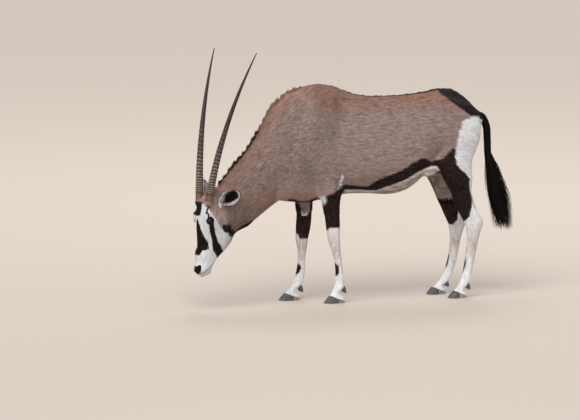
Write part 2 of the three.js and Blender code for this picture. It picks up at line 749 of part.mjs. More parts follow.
// A horn's rings of points: ridges crowd its lower half, and the upper half is smooth
function hornSolid(side) {
  const lean = THREE.MathUtils.degToRad(HORN_LEAN);
  const spread = THREE.MathUtils.degToRad(HORN_SPREAD);
  const along = new THREE.Vector3()
    .addScaledVector(HEAD.along, Math.cos(lean))
    .addScaledVector(HEAD.up, -Math.sin(lean))
    .addScaledVector(HEAD.across, -Math.sin(spread) * side)
    .normalize();
  const back = HEAD.up.clone().multiplyScalar(-1);
  back.addScaledVector(along, -back.dot(along)).normalize();
  const aside = new THREE.Vector3().crossVectors(along, back);
  const start = worldOf(HEAD, HORN_BASE.up, HORN_BASE.out, -HORN_BASE.left * side);
  const stops = [0];
  for (let i = 0; i < HORN_RINGS; i += 1) {
    const t = (HORN_RINGED_SHARE * (i + 0.4)) / HORN_RINGS;
    const pitch = HORN_RINGED_SHARE / HORN_RINGS;
    stops.push(t + pitch * 0.18, t + pitch * 0.62);
  }
  for (let i = 1; i <= 8; i += 1) stops.push(HORN_RINGED_SHARE + ((1 - HORN_RINGED_SHARE) * i) / 8);
  const rings = stops.map((t, n) => {
    const taper = HORN_TIP_RADIUS + (HORN_BASE_RADIUS - HORN_TIP_RADIUS) * (1 - t) ** 0.85;
    const ringed = n > 0 && n <= 2 * HORN_RINGS;
    const ridge = ringed && n % 2 === 0 ? 1.06 : ringed ? 0.95 : 1;
    const radius = taper * ridge;
    const centre = start
      .clone()
      .addScaledVector(along, t * (HORN_LENGTH + 14))
      .addScaledVector(back, HORN_SWEEP * t * t)
      .addScaledVector(HEAD.across, -HORN_BOW * side * t * t);
    return Array.from({ length: 8 }, (_, i) => {
      const angle = (2 * Math.PI * i) / 8;
      return centre
        .clone()
        .addScaledVector(back, Math.cos(angle) * radius * 1.06)
        .addScaledVector(aside, Math.sin(angle) * radius);
    });
  });
  return solidOfRings(rings);
}

// How an ear stands: its root on the head, the way it points, and the way its cup faces
const earSet = {
  left: { root: [408, -146, 60], points: [0.43, 0.05, 0.9], faces: [-0.3, 0.95, 0.09] },
  right: { root: [396, -140, -52], points: [0.8, -0.1, -0.59], faces: [-0.1, 0.95, -0.3] },
};

const onHeadAxes = ([up, out, left]) =>
  new THREE.Vector3()
    .addScaledVector(HEAD.along, up)
    .addScaledVector(HEAD.up, out)
    .addScaledVector(HEAD.across, left)
    .normalize();

// An ear is a leaf rolled into a cup, nearly closed at its root and open to its rounded tip
function earSolid(name) {
  const { root, points, faces } = earSet[name];
  const start = worldOf(HEAD, ...root);
  const along = onHeadAxes(points);
  const open = onHeadAxes(faces);
  open.addScaledVector(along, -open.dot(along)).normalize();
  const aside = new THREE.Vector3().crossVectors(along, open);
  const widthAt = smoothRows([[-0.12, 0.5], [0.05, 0.52], [0.3, 0.86], [0.55, 1], [0.8, 0.8], [0.94, 0.42], [1, 0.16]]);
  const rollAt = smoothRows([[-0.12, 165], [0.1, 150], [0.35, 112], [0.7, 84], [1, 60]]); // half angle, degrees
  const rows = 10;
  const columns = 8;
  const rings = Array.from({ length: rows }, (_, r) => {
    const t = -0.12 + (1.12 * r) / (rows - 1);
    const half = (widthAt(t)[1] * EAR_WIDTH) / 2;
    const roll = THREE.MathUtils.degToRad(rollAt(t)[1]);
    const radius = half / Math.min(Math.sin(Math.min(roll, Math.PI / 2)), 1);
    const sheet = (lift) =>
      Array.from({ length: columns + 1 }, (_, c) => {
        const angle = roll * ((2 * c) / columns - 1);
        const out = radius + lift;
        return start
          .clone()
          .addScaledVector(along, t * EAR_LENGTH)
          .addScaledVector(aside, Math.sin(angle) * out)
          .addScaledVector(open, -Math.cos(angle) * out + radius * 0.35);
      });
    return [...sheet(0), ...sheet(-EAR_THICKNESS).reverse()];
  });
  return solidOfRings(rings);
}

// Feet: two claws to a foot, each a wedge with a round wall, a flat sole and a pointed toe

const footSet = {
  fore_left: { toe: -397, heel: -276, middle: -104, dewclaw: { behind: -5, height: 58 } },
  fore_right: { toe: -600, heel: -478, middle: 92, dewclaw: { behind: 6, height: 46 } },
  hind_left: { toe: 341, heel: 450, middle: -103, dewclaw: { behind: 8, height: 48 } },
  hind_right: { toe: 279, heel: 392, middle: 92, dewclaw: { behind: 5, height: 42 } },
};

function clawSolid(foot, outer) {
  const { toe, heel, middle } = footSet[foot];
  const side = outer * Math.sign(middle);
  const length = heel - toe;
  const rings = [0.02, 0.14, 0.31, 0.5, 0.75, 0.98].map((t) => {
    const width = 30 * Math.sin(Math.PI * t ** 0.62) ** 0.7 + 2;
    const wall = 3 + 0.95 * length * t;
    const rim = CORONET_FRONT + 10 - (CORONET_FRONT - CORONET_HEEL) * t;
    const height = Math.min(wall, rim);
    const x = toe + length * t;
    const inner = 2.2 + 9 * t * 0.2;
    return Array.from({ length: 8 }, (_, i) => {
      const angle = (2 * Math.PI * (i + 0.5)) / 8 - Math.PI / 2;
      const up = Math.max(0, 0.5 + Math.sin(angle) * 0.62);
      const lean = 1 - 0.22 * up;
      const across = 0.5 + Math.cos(angle) * 0.5 * lean;
      return new THREE.Vector3(x + up * length * 0.05, middle + side * (inner + width * across), up * height);
    });
  });
  return solidOfRings(rings);
}

// Tail: a slim dock and a long tuft of locks

const tailPath = new THREE.CatmullRomCurve3(
  [
    [540, 0, 1030],
    [578, 0, 1008],
    [602, 0, 960],
    [609, 0, 890],
    [612, 0, 820],
    [618, 0, 745],
  ].map((p) => new THREE.Vector3(...p)),
);
const TAIL_CUT = { normal: new THREE.Vector3(0.06, 0, -1).normalize(), at: new THREE.Vector3(611, 0, 832) };

function tubeRings(path, radiusAt, rows, around) {
  const frames = path.computeFrenetFrames(rows - 1);
  return Array.from({ length: rows }, (_, r) => {
    const t = r / (rows - 1);
    const centre = path.getPointAt(t);
    return Array.from({ length: around }, (_, i) => {
      const angle = (2 * Math.PI * i) / around;
      return centre
        .clone()
        .addScaledVector(frames.normals[r], Math.cos(angle) * radiusAt(t))
        .addScaledVector(frames.binormals[r], Math.sin(angle) * radiusAt(t));
    });
  });
}

function tailSolid() {
  const dock = solidOfRings(tubeRings(tailPath, (t) => 24 - 9 * t, 14, 10));
  return cutBy(dock, TAIL_CUT, -1);
}

// A seeded draw between 0 and 1
function drawer(seed) {
  let state = seed;
  return () => {
    state = (state * 1664525 + 1013904223) % 4294967296;
    return state / 4294967296;
  };
}

// A flat lock that bends from root through bend to tip, thick in the middle and tapered at its end
function lockSolid(root, bend, tip, across, width, thickness, rows = 4) {
  const path = new THREE.QuadraticBezierCurve3(root, bend, tip);
  const rings = Array.from({ length: rows }, (_, r) => {
    const t = r / (rows - 1);
    const centre = path.getPoint(t);
    const ahead = path.getTangent(t);
    const flat = new THREE.Vector3().crossVectors(ahead, across).normalize();
    const size = 1 - 0.86 * t ** 1.7;
    const half = across.clone().multiplyScalar((width * size) / 2);
    const thick = flat.multiplyScalar((thickness * size) / 2);
    return [
      centre.clone().add(half),
      centre.clone().add(thick),
      centre.clone().sub(half),
      centre.clone().sub(thick),
    ];
  });
  return solidOfRings(rings);
}

// The tuft's half width and middle by height, as it hangs a little behind the hocks
const tuftShape = smoothRows([
  [360, 10, 706, 4],
  [414, 34, 700, 14],
  [488, 46, 684, 20],
  [568, 56, 668, 24],
  [674, 48, 645, 24],
  [763, 28, 622, 20],
  [834, 16, 611, 15],
]);

function tuftSolid() {
  const draw = drawer(7);
  const coreRows = Array.from({ length: 9 }, (_, r) => {
    const height = 834 - (834 - 520) * (r / 8);
    const [, half, middle, thick] = tuftShape(height);
    const share = 0.95 - 0.45 * (r / 8);
    return Array.from({ length: 10 }, (_, i) => {
      const angle = (2 * Math.PI * i) / 10;
      return new THREE.Vector3(
        middle + Math.cos(angle) * half * share,
        Math.sin(angle) * thick * share,
        height,
      );
    });
  });
  const pieces = [solidOfRings(coreRows)];
  for (let i = 0; i < TUFT_LOCKS; i += 1) {
    const turn = i * 2.399963;
    const rootHeight = 800 - 250 * (i / TUFT_LOCKS) - 20 * draw();
    const length = 210 + 70 * draw();
    const tipHeight = Math.max(362 + 60 * draw(), rootHeight - length - 60);
    const ringPoint = (height, share) => {
      const [, half, middle, thick] = tuftShape(height);
      return new THREE.Vector3(
        middle + Math.cos(turn) * half * share,
        Math.sin(turn) * thick * share,
        height,
      );
    };
    const across = new THREE.Vector3(-Math.sin(turn), Math.cos(turn), 0);
    pieces.push(
      lockSolid(
        ringPoint(rootHeight, 0.42),
        ringPoint((rootHeight + tipHeight) / 2, 1.25),
        ringPoint(tipHeight, 0.85),
        across,
        30,
        14,
        3,
      ),
    );
  }
  return cutBy(wasm.Manifold.union(pieces), TAIL_CUT, 1);
}

// The mane: short upright locks along the crest, leaning towards the withers
function maneLocks() {
  const draw = drawer(3);
  const pieces = [];
  for (let i = 0; i < MANE_LOCKS; i += 1) {
    const along = 40 + (510 * i) / (MANE_LOCKS - 1);
    const at = smoothRows(neckStations)(along);
    const start = worldOf(NECK, along, at[2] - 90, at[3]);
    const reach = reachOf(flesh, start, NECK.up, 0, 260, 5);
    const crest = start.clone().addScaledVector(NECK.up, reach);
    const tall = 24 + 7 * draw();
    const lean = 10 + 8 * draw();
    const aside = (draw() - 0.5) * 8;
    const raised = (up, back) =>
      crest
        .clone()
        .addScaledVector(NECK.up, up)
        .addScaledVector(NECK.along, -back)
        .addScaledVector(NECK.across, (aside * up) / tall);
    pieces.push(lockSolid(raised(-16, 0), raised(tall * 0.5, lean * 0.2), raised(tall, lean), NECK.along, 27, 10, 3));
  }
  return pieces;
}

// The group

const colours = {
  fawn: { color: 0x9c8175, roughness: 0.85 },
  white: { color: 0xd9d6d2, roughness: 0.85 },
  horn: { color: 0x4a403a, roughness: 0.55 },
  eye: { color: 0x140d0a, roughness: 0.12 },
  claw: { color: 0x3d3f45, roughness: 0.5 },
  black: { color: 0x17120f, roughness: 0.8 },
};

const animal = new THREE.Group();

function addNode(name, solid, colour) {
  const material = new THREE.MeshStandardMaterial({ metalness: 0, ...colours[colour] });
  const mesh = new THREE.Mesh(asGeometry(solid), material);
  mesh.name = name;
  animal.add(mesh);
}

const headLevel = headSolid(GAP);
let head = headSolid();
for (const side of [LEFT, RIGHT]) {
  const frame = eyeFrame(side);
  const opening = { ...frame, origin: worldOf(frame, 0, EYE_RADIUS + 4, 0) };
  const nostril = onHead(NOSTRIL.up, NOSTRIL.out, -NOSTRIL.left * side, -35);
  head = head
    .add(eyeSolid(side, LID_THICKNESS))
    .subtract(ovalSolid(opening, [12, 15, 18], 2))
    .subtract(eyeSolid(side, GAP))
    .subtract(ovalSolid(nostril, [12, 13, 5.5], 1));
}
head = head.subtract(mouthSolid());

addNode("torso", torsoSolid(), "fawn");
addNode("neck", largestOf(cutBy(cutBy(neckSolid().add(wasm.Manifold.union(maneLocks())), SHOULDER_CUT, 1), POLL_CUT, -1)), "fawn");
addNode("head", largestOf(head), "white");
for (const [name, side] of [["left", LEFT], ["right", RIGHT]]) {
  addNode(`eye_${name}`, eyeSolid(side), "eye");
  addNode(`horn_${name}`, largestOf(hornSolid(side).subtract(headLevel)), "horn");
  addNode(`ear_${name}`, largestOf(earSolid(name).subtract(headLevel)), "fawn");
}
for (const foot of Object.keys(footSet)) {
  const leg = legSolid(foot);
  addNode(`leg_${foot}`, leg, "white");
  for (const [name, outer] of [["outer", 1], ["inner", -1]]) {
    addNode(`claw_${foot}_${name}`, cutBy(clawSolid(foot, outer), coronetOf(foot), -1), "claw");
  }
}
const rump = torsoSolid();
addNode("tail", largestOf(tailSolid().subtract(rump)), "black");
addNode("tail_tuft", largestOf(tuftSolid()), "black");

// The origin is under the middle of the whole animal, at the level of its soles
const bounds = new THREE.Box3().setFromObject(animal);
const middle = bounds.getCenter(new THREE.Vector3());
animal.position.set(-middle.x, -middle.y, -bounds.min.z);
const part = new THREE.Group();
part.add(animal);

export default part;
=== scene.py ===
"""A gemsbok standing with its muzzle near the ground: its skin, coat, mane, tail, horns, eyes and hooves.

Shapes are worked out in millimetres in the animal's own frame, as the solids are: it faces -X, its left
side is at -Y, and it stands on Z = 0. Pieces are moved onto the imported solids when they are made.
"""

import bpy
import numpy as np
from mathutils import Matrix, Vector


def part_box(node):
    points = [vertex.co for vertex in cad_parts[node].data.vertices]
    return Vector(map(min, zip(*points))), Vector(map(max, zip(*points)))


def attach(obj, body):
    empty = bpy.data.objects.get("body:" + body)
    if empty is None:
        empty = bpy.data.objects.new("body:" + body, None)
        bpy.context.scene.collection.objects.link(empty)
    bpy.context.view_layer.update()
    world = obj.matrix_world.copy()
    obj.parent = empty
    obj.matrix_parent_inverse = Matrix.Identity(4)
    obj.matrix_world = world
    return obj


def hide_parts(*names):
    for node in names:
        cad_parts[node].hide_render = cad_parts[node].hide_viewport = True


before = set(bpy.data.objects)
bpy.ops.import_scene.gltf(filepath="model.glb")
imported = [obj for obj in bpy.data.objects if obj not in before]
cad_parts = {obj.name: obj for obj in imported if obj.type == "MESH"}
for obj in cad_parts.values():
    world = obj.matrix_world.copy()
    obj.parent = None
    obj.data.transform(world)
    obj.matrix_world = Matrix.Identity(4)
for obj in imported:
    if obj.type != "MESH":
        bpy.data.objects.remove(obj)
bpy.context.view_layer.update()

# Driving sizes, in millimetres where nothing else is said

SKIN_DEPTH = 3.0  # of the skin under the coat's surface on the body
SKIN_FINE, SKIN_COARSE = 3.6, 7.2  # steps of the grid that the skin is drawn on
NECK_CAP = 0.75  # how blunt the cap at the neck's lower end is
EYE_RADIUS = 20
CORNEA = 0.045  # how far it stands out, as a share of the radius
LID_OPENING, LID_CORNER = 40, 22  # half the opening between the lids in degrees, and more at its corners
HORN_LENGTH = 880
HORN_BASE_RADIUS, HORN_TIP_RADIUS = 22.5, 2.2
HORN_LEAN, HORN_SPREAD = 4.5, 7.6  # degrees at the base: back from the face's line, and out from the midline
HORN_SWEEP, HORN_BOW = 170, 30  # how far the tips bend back and out from a straight line
HORN_RINGS = 21
RINGS_START = 72  # along the horn from its base
RING_FIRST, RING_LAST = 10.5, 29  # between rings, low and high
RING_TILT = 17  # degrees
RING_HEIGHT = 0.13  # of a ridge over a groove, as a share of the horn's radius
EAR_LENGTH, EAR_WIDTH, EAR_THICKNESS = 152, 88, 5
TAIL_REACH = 762  # how far back the tuft's locks reach
LEFT, RIGHT = -1, 1
SIDES = {"left": LEFT, "right": RIGHT}

# How many hairs or locks each piece has
COAT_PIECES, COAT_HAIRS = 3, 56000
MANE_HAIRS, RIDGE_HAIRS, DOCK_HAIRS, EAR_HAIRS, ELBOW_HAIRS, LASHES = 5600, 7000, 9000, 650, 110, 46
TUFT_LOCKS, TUFT_WISPS, TUFT_HAIRS = 230, 46, 1100

# The short coat's hair on the face and legs, and then on the body
COAT_LENGTHS, COAT_WIDTHS = (9, 15), (1.5, 2.3)
NECK_LONGER, NECK_WIDER = 9, 0.5  # how much more they are on the neck
# Other hair, with the least and the most where it varies
MANE_LENGTH, MANE_WIDTH = 25, 2.2
LASH_LENGTHS, LASH_WIDTH = (6, 10), 0.9
RIDGE_LENGTHS, DOCK_LENGTHS, BACK_WIDTH = (9, 17), (10, 20), 2.0
EAR_LENGTHS, ELBOW_LENGTHS, WHITE_WIDTH = (11, 24), (10, 24), 1.3
STRAND_LENGTHS, STRAND_WIDTH = (110, 250), 1.6
LOCK_DROP, LOCK_WIDTHS = (230, 430), (7, 13)  # the drop is from a lock's root to its tip
WISP_WIDTHS = (2.5, 6)
GOLDEN_ANGLE = 2.399963  # in radians: it spreads the tuft's locks evenly

rng = np.random.default_rng(11)

# Rows of sizes. The torso's, neck's, head's and legs' are the solids', but for the torso's first three,
# which fade more softly into the neck

TORSO = [
    (-800, 735, 785, -76, 12, 0.1), (-735, 728, 875, -56, 44, 0.15), (-670, 695, 1010, -32, 84, 0.2),
    (-575, 610, 1160, 0, 116, 0.3), (-500, 572, 1200, 0, 140, 0.4),
    (-412, 578, 1216, 0, 162, 0.42), (-330, 596, 1208, 0, 180, 0.36),
    (-265, 604, 1192, 0, 193, 0.3), (-128, 603, 1158, 0, 210, 0.22), (0, 594, 1152, 0, 217, 0.2),
    (83, 606, 1153, 0, 216, 0.2), (160, 650, 1159, 0, 208, 0.2), (230, 732, 1167, 0, 194, 0.2),
    (300, 800, 1180, 0, 180, 0.22), (350, 826, 1182, 0, 170, 0.25), (409, 830, 1170, 0, 152, 0.28),
    (475, 870, 1126, 0, 116, 0.25), (522, 920, 1078, 0, 76, 0.15), (556, 970, 1030, 0, 30, 0),
]
NECK_ROWS = [
    (-60, -320, 255, 0, 120, 0.3), (30, -318, 264, 0, 118, 0.3), (100, -276, 250, 0, 110, 0.3),
    (200, -214, 212, 0, 98, 0.28), (300, -181, 186, 0, 89, 0.25), (400, -162, 170, 2, 83, 0.25),
    (500, -156, 157, 6, 79, 0.2), (600, -154, 134, 12, 74, 0.1), (700, -100, 70, 10, 55, 0),
]
HEAD_ROWS = [
    (-2, -52, -14, 0, 14, 0), (8, -76, 1, 0, 30, 0), (24, -88, 7, 0, 41, -0.05), (45, -95, 8, 0, 45, 0),
    (70, -109, 4, 0, 43, 0.1), (95, -141, 1, 0, 41, 0.18), (130, -192, 0, 0, 42, 0.22),
    (170, -236, 0, 0, 48, 0.2), (210, -258, -1, 0, 56, 0.1), (250, -270, -2, 0, 64, 0),
    (290, -263, -2, 0, 70, -0.1), (320, -244, 0, 0, 71, -0.14), (350, -228, 1, 0, 68, -0.14),
    (385, -212, -6, 0, 62, -0.1), (415, -182, -20, 0, 56, 0), (445, -168, -46, 0, 47, 0),
    (468, -145, -80, 0, 30, 0),
]
LEGS = {
    "fore_left": [
        (4, -310, -281, -104, 26), (14, -332, -276, -104, 29), (26, -354, -275, -104, 31),
        (38, -361, -285, -104, 29), (58, -352, -301, -104, 27), (92, -335, -278, -105, 30),
        (125, -329, -280, -105, 25), (185, -329, -285, -105, 21.5), (243, -335, -292, -105, 21.5),
        (295, -350, -299, -105, 26), (356, -371, -302, -106, 31), (425, -384, -303, -108, 31),
        (494, -395, -306, -112, 35), (552, -408, -308, -118, 41), (610, -425, -303, -124, 47),
        (680, -455, -288, -128, 52), (760, -480, -290, -124, 55), (840, -480, -320, -110, 45),
    ],
    "fore_right": [
        (4, -512, -483, 92, 26), (14, -534, -478, 92, 29), (26, -556, -477, 92, 31),
        (38, -564, -487, 92, 29), (56, -548, -497, 92, 27), (93, -521, -461, 92, 30),
        (143, -501, -449, 92, 25), (198, -490, -445, 92, 21.5), (245, -487, -443, 92, 21.5),
        (290, -489, -435, 93, 26), (347, -499, -426, 94, 31), (412, -497, -411, 97, 31),
        (482, -492, -402, 102, 35), (555, -496, -396, 108, 41), (610, -502, -384, 115, 47),
        (680, -515, -355, 122, 52), (760, -525, -345, 122, 55), (840, -510, -355, 110, 45),
    ],
    "hind_left": [
        (4, 416, 445, -103, 26), (14, 394, 450, -103, 29), (26, 372, 451, -103, 31),
        (38, 377, 441, -103, 29), (54, 391, 443, -103, 27), (88, 411, 471, -103, 30),
        (127, 424, 481, -103, 26), (206, 440, 497, -104, 23), (286, 449, 512, -105, 24),
        (361, 452, 530, -107, 28), (402, 446, 543, -108, 31), (437, 430, 546, -109, 32),
        (465, 415, 532, -110, 31), (491, 400, 515, -111, 31), (549, 371, 489, -115, 37),
        (618, 343, 474, -121, 47), (690, 300, 478, -126, 58), (760, 278, 474, -124, 64),
        (840, 274, 486, -116, 68), (920, 280, 500, -106, 70), (1000, 300, 510, -92, 66),
        (1080, 334, 470, -70, 52),
    ],
    "hind_right": [
        (4, 358, 387, 92, 26), (14, 336, 392, 92, 29), (26, 314, 393, 92, 31), (38, 315, 383, 92, 29),
        (50, 330, 382, 92, 27), (79, 357, 417, 92, 30), (129, 384, 438, 92, 26), (202, 406, 462, 93, 23),
        (265, 417, 474, 94, 24), (335, 420, 490, 95, 28), (385, 414, 508, 97, 31), (425, 399, 516, 99, 32),
        (455, 385, 502, 101, 31), (485, 372, 486, 103, 31), (545, 345, 463, 108, 37),
        (618, 315, 457, 116, 47), (690, 280, 467, 122, 58), (760, 268, 468, 122, 64),
        (840, 268, 482, 116, 68), (920, 278, 498, 106, 70), (1000, 300, 510, 92, 66),
        (1080, 334, 470, 70, 52),
    ],
}
# Muscles and bones on each side, as ovals: place, tilt, radii, and over how far each flows into the rest.
# The body's places are (x, from the midline, z), and the head's (up the face, out from it, to the side)
BODY_FORMS = [
    (-425, 108, 985, 22, (78, 185, 52), 70), (-515, 92, 800, 0, (72, 88, 62), 70),
    (-385, 122, 800, -30, (118, 92, 50), 60), (330, 118, 1085, 0, (52, 48, 44), 60),
    (410, 118, 935, 12, (118, 170, 70), 70), (252, 148, 760, -40, (84, 30, 22), 46),
    (478, 74, 985, 10, (46, 70, 44), 36),
]
HEAD_FORMS = [
    (331, -34, 55, 0, (26, 18, 17), 16), (292, -62, 58, 40, (44, 20, 14), 22),
    (222, -140, 42, 0, (62, 58, 22), 34), (110, -52, 30, 0, (52, 44, 16), 26),
    (404, -48, 34, -15, (26, 31, 31), 18), (36, -14, 24, 0, (20, 17, 17), 14),
]

# Smooth curves, frames and fields


def unit(v):
    v = np.asarray(v, float)
    return v / np.linalg.norm(v, axis=-1, keepdims=True)


def rise(value, start, end):
    """0 up to start, 1 from end on, and even between them. It falls where start is the greater."""
    return np.clip((value - start) / (end - start), 0, 1)


def vectors(*parts):
    return np.stack(np.broadcast_arrays(*parts), -1)


def smooth_rows(rows, steps=400):
    """Rows of (position, value, ...) as a function of position, smooth through each value."""
    longest = max(map(len, rows))
    rows = np.array([list(r) + [0] * (longest - len(r)) for r in rows], float)
    at = rows[:, 0]
    before = np.maximum(np.arange(len(rows)) - 1, 0)
    after = np.minimum(np.arange(len(rows)) + 1, len(rows) - 1)
    slopes = (rows[after] - rows[before]) / (at[after] - at[before])[:, None]
    ticks = np.linspace(at[0], at[-1], steps + 1)
    i = np.clip(np.searchsorted(at, ticks, side="right") - 1, 0, len(at) - 2)
    span = (at[i + 1] - at[i])[:, None]
    t = (ticks - at[i])[:, None] / span
    table = rows[i] * (2 * t**3 - 3 * t**2 + 1) + rows[i + 1] * (3 * t**2 - 2 * t**3)
    table += slopes[i] * span * (t**3 - 2 * t**2 + t) + slopes[i + 1] * span * (t**3 - t**2)

    def look_up(position):
        x = np.clip((np.asarray(position, float) - at[0]) / (at[-1] - at[0]) * steps, 0, steps - 1e-6)
        k = x.astype(np.int32)
        return table[k] + (table[k + 1] - table[k]) * (x - k)[..., None]

    return look_up


class Frame:
    """An origin and three directions: along, up and across."""

    def __init__(self, origin, along, up, across):
        self.origin = np.array(origin, float)
        self.axes = np.array([unit(along), unit(up), unit(across)])

    def local(self, points):
        return (points - self.origin) @ self.axes.T

    def world(self, along, up, across):
        return self.origin + self.turned(along, up, across)

    def turned(self, along, up, across):
        return vectors(along, up, across) @ self.axes

    def at(self, along, up, across):
        return Frame(self.world(along, up, across), *self.axes)


BODY = Frame((0, 0, 0), (1, 0, 0), (0, 0, 1), (0, 1, 0))
UPRIGHT = Frame((0, 0, 0), (0, 0, 1), (1, 0, 0), (0, 1, 0))
NECK = Frame((-500, 0, 930), (-0.765, -0.204, -0.611), (-0.59, -0.157, 0.792), (-0.2576, 0.966, 0))
# Up the face, out from it, and to the animal's left
HEAD = Frame((-1168, -190, 200), (0, 0, 1), (-0.9135, -0.4067, 0), (0.4067, -0.9135, 0))


def tilted(x, y, z, tilt):
    a = np.radians(tilt)
    return Frame((x, y, z), (np.cos(a), 0, -np.sin(a)), (np.sin(a), 0, np.cos(a)), (0, 1, 0))


def on_head(up, out, left, tilt=0):
    a = np.radians(tilt)
    along, outward, aside = HEAD.axes
    return Frame(
        HEAD.world(up, out, left),
        along * np.cos(a) + outward * np.sin(a),
        outward * np.cos(a) - along * np.sin(a),
        aside,
    )


def loft(place, stations, steepness=1.0):
    """Oval sections along a frame: rows of (along, low, high, across, half width, taper).

    Past its first row the loft ends in a round cap, which a low steepness draws out.
    """
    rows_at = smooth_rows(stations)
    first, last = stations[0][0], stations[-1][0]

    def field(points):
        s, f, g = place.local(points).T
        row = rows_at(s)
        low, high, side, half = row[:, 1:5].T
        taper = row[:, 5] if row.shape[1] > 5 else 0
        depth = (high - low) / 2
        p = (f - (low + high) / 2) / depth
        width = half * (1 - taper * np.clip(p, -1, 1))
        q = (g - side) / width
        reach = np.maximum(np.hypot(p, q), 1e-6)
        steep = np.maximum(np.hypot(p / depth, q / width) / reach, 1e-9)
        radial = (reach - 1) / steep
        beyond = np.maximum(np.maximum((first - s) * steepness, s - last), 0)
        return np.hypot(np.maximum(radial, 0), beyond) + np.minimum(radial, 0) * rise(beyond, 60, 0)

    return field


def oval(place, radii):
    radii = np.array(radii, float)

    def field(points):
        local = place.local(points)
        reach = np.linalg.norm(local / radii, axis=1)
        steep = np.maximum(np.linalg.norm(local / radii**2, axis=1), 1e-9)
        return reach * (reach - 1) / steep

    return field


def smooth_union(a, b, k):
    h = np.maximum(k - np.abs(a - b), 0) / k
    return np.minimum(a, b) - h * h * k / 4


def smooth_cut(a, b, k):
    return -smooth_union(-a, b, k)


# The flesh

torso_field = loft(BODY, TORSO)
neck_field = loft(NECK, NECK_ROWS, NECK_CAP)
skull_field = loft(HEAD, HEAD_ROWS)
leg_fields = [loft(UPRIGHT, rows) for rows in LEGS.values()]
body_forms = [
    (oval(tilted(x, y * side, z, tilt), radii), k)
    for side in (LEFT, RIGHT)
    for x, y, z, tilt, radii, k in BODY_FORMS
]
head_forms = [
    (oval(on_head(up, out, -left * side, tilt), radii), k)
    for side in (LEFT, RIGHT)
    for up, out, left, tilt, radii, k in HEAD_FORMS
]
withers = oval(tilted(-400, 0, 1130, 0), (150, 84, 52))
breast = oval(tilted(-560, 0, 688, -35), (105, 82, 92))
tail_root = oval(tilted(540, 0, 1024, 35), (58, 30, 30))
chin = oval(on_head(20, -62, 0, 30), (24, 26, 30))
nose = oval(on_head(34, -14, 0, 0), (28, 18, 30))
# Over how many millimetres the larger forms flow into one another
NECK_BLEND, BREAST_BLEND, WITHERS_BLEND, TAIL_BLEND, LEG_BLEND, HEAD_BLEND = 110, 70, 60, 30, 34, 40


def eye_frame(side):
    """Along is up the face, and up is the way the eye looks."""
    up, out, left = HEAD.axes
    looks = unit(0.05 * up + 0.34 * out - 0.94 * side * left)
    across = unit(np.cross(up, looks))
    return Frame(HEAD.world(309, -44, -49 * side), np.cross(looks, across), looks, across)


eye_frames = {side: eye_frame(side) for side in (LEFT, RIGHT)}
sockets = [oval(f.at(0, EYE_RADIUS + 8, 0), (29, 12, 30)) for f in eye_frames.values()]
lid_balls = [oval(f, (EYE_RADIUS + 2,) * 3) for f in eye_frames.values()]
lid_openings = [oval(f.at(0, EYE_RADIUS + 4, 0), (12, 16, 18)) for f in eye_frames.values()]
nostrils = [oval(on_head(38, 2, -24 * side, -35), (12, 14, 5.5)) for side in (LEFT, RIGHT)]


def lip_line(out):
    """How far up the head the groove between the lips lies, by the distance out from the face."""
    return 10 + 52 * rise(out, 4, -74) ** 1.5


def mouth(points):
    up, out, left = HEAD.local(points).T
    slit = np.abs(up - lip_line(out)) - 2.6
    shallow = 33 - np.hypot((out + 34) * 0.88, left)
    return np.maximum(np.maximum(slit, shallow), -70 - out)


def head_flesh(points):
    f = smooth_union(skull_field(points), chin(points), 14)
    f = smooth_union(f, nose(points), 14)
    for form, k in head_forms:
        f = smooth_union(f, form(points), k)
    for socket, ball, opening in zip(sockets, lid_balls, lid_openings):
        f = smooth_cut(f, socket(points), 10)
        f = smooth_union(f, ball(points), 7)
        f = smooth_cut(f, opening(points), 2)
    for nostril in nostrils:
        f = smooth_cut(f, nostril(points), 4)
    return smooth_cut(f, mouth(points), 3)


def flesh(points):
    x = points[:, 0]
    f = np.full(len(points), 1e3)
    torso, front, body, head = x > -800, x < -120, x >= -850, x < -780
    f[torso] = torso_field(points[torso])
    q, g = points[front], f[front]
    g = smooth_union(g, neck_field(q), NECK_BLEND)
    f[front] = smooth_union(g, breast(q), BREAST_BLEND)
    q, g = points[body], f[body]
    g = smooth_union(g, withers(q), WITHERS_BLEND)
    for form, k in body_forms:
        g = smooth_union(g, form(q), k)
    g = smooth_union(g, tail_root(q), TAIL_BLEND)
    for leg in leg_fields:
        g = smooth_union(g, leg(q), LEG_BLEND)
    f[body] = g
    f[head] = smooth_union(f[head], head_flesh(points[head]), HEAD_BLEND)
    return f


def coat_depth(points):
    """How deep the skin lies under the coat: least on the face and the legs."""
    up, out, _ = HEAD.local(points).T
    face = rise(up, 360, 300) * rise(out, -320, -240) * (points[:, 0] < -850)
    leg = rise(points[:, 2], 560, 440) * (points[:, 0] > -760)
    return SKIN_DEPTH * (1 - 0.8 * np.maximum(face, leg))


FEET = {
    "fore_left": (-397, -276, -104),
    "fore_right": (-600, -478, 92),
    "hind_left": (341, 450, -103),
    "hind_right": (279, 392, 92),
}
# Heights of the hair's lower edge, at the front of a hoof and at its heel
CORONET_FRONT, CORONET_HEEL = 38, 7


def coronet(length, behind):
    """The height of that edge on a foot of some length, at a distance behind the toe."""
    share = (behind - CORONET_FRONT) / (length - CORONET_FRONT)
    return CORONET_FRONT - (CORONET_FRONT - CORONET_HEEL) * share


def skin_field(points):
    f = flesh(points) + coat_depth(points)
    low = points[:, 2] < 75
    for toe, heel, middle in FEET.values():
        near = low & (np.abs(points[:, 1] - middle) < 60)
        near &= (points[:, 0] > toe - 30) & (points[:, 0] < heel + 60)
        if near.any():
            x, _, z = points[near].T
            fall = (CORONET_FRONT - CORONET_HEEL) / (heel - toe - CORONET_FRONT)
            over = (z - coronet(heel - toe, x - toe)) / np.hypot(1, fall)
            f[near] = smooth_cut(f[near], over - 1, 2)
    return f


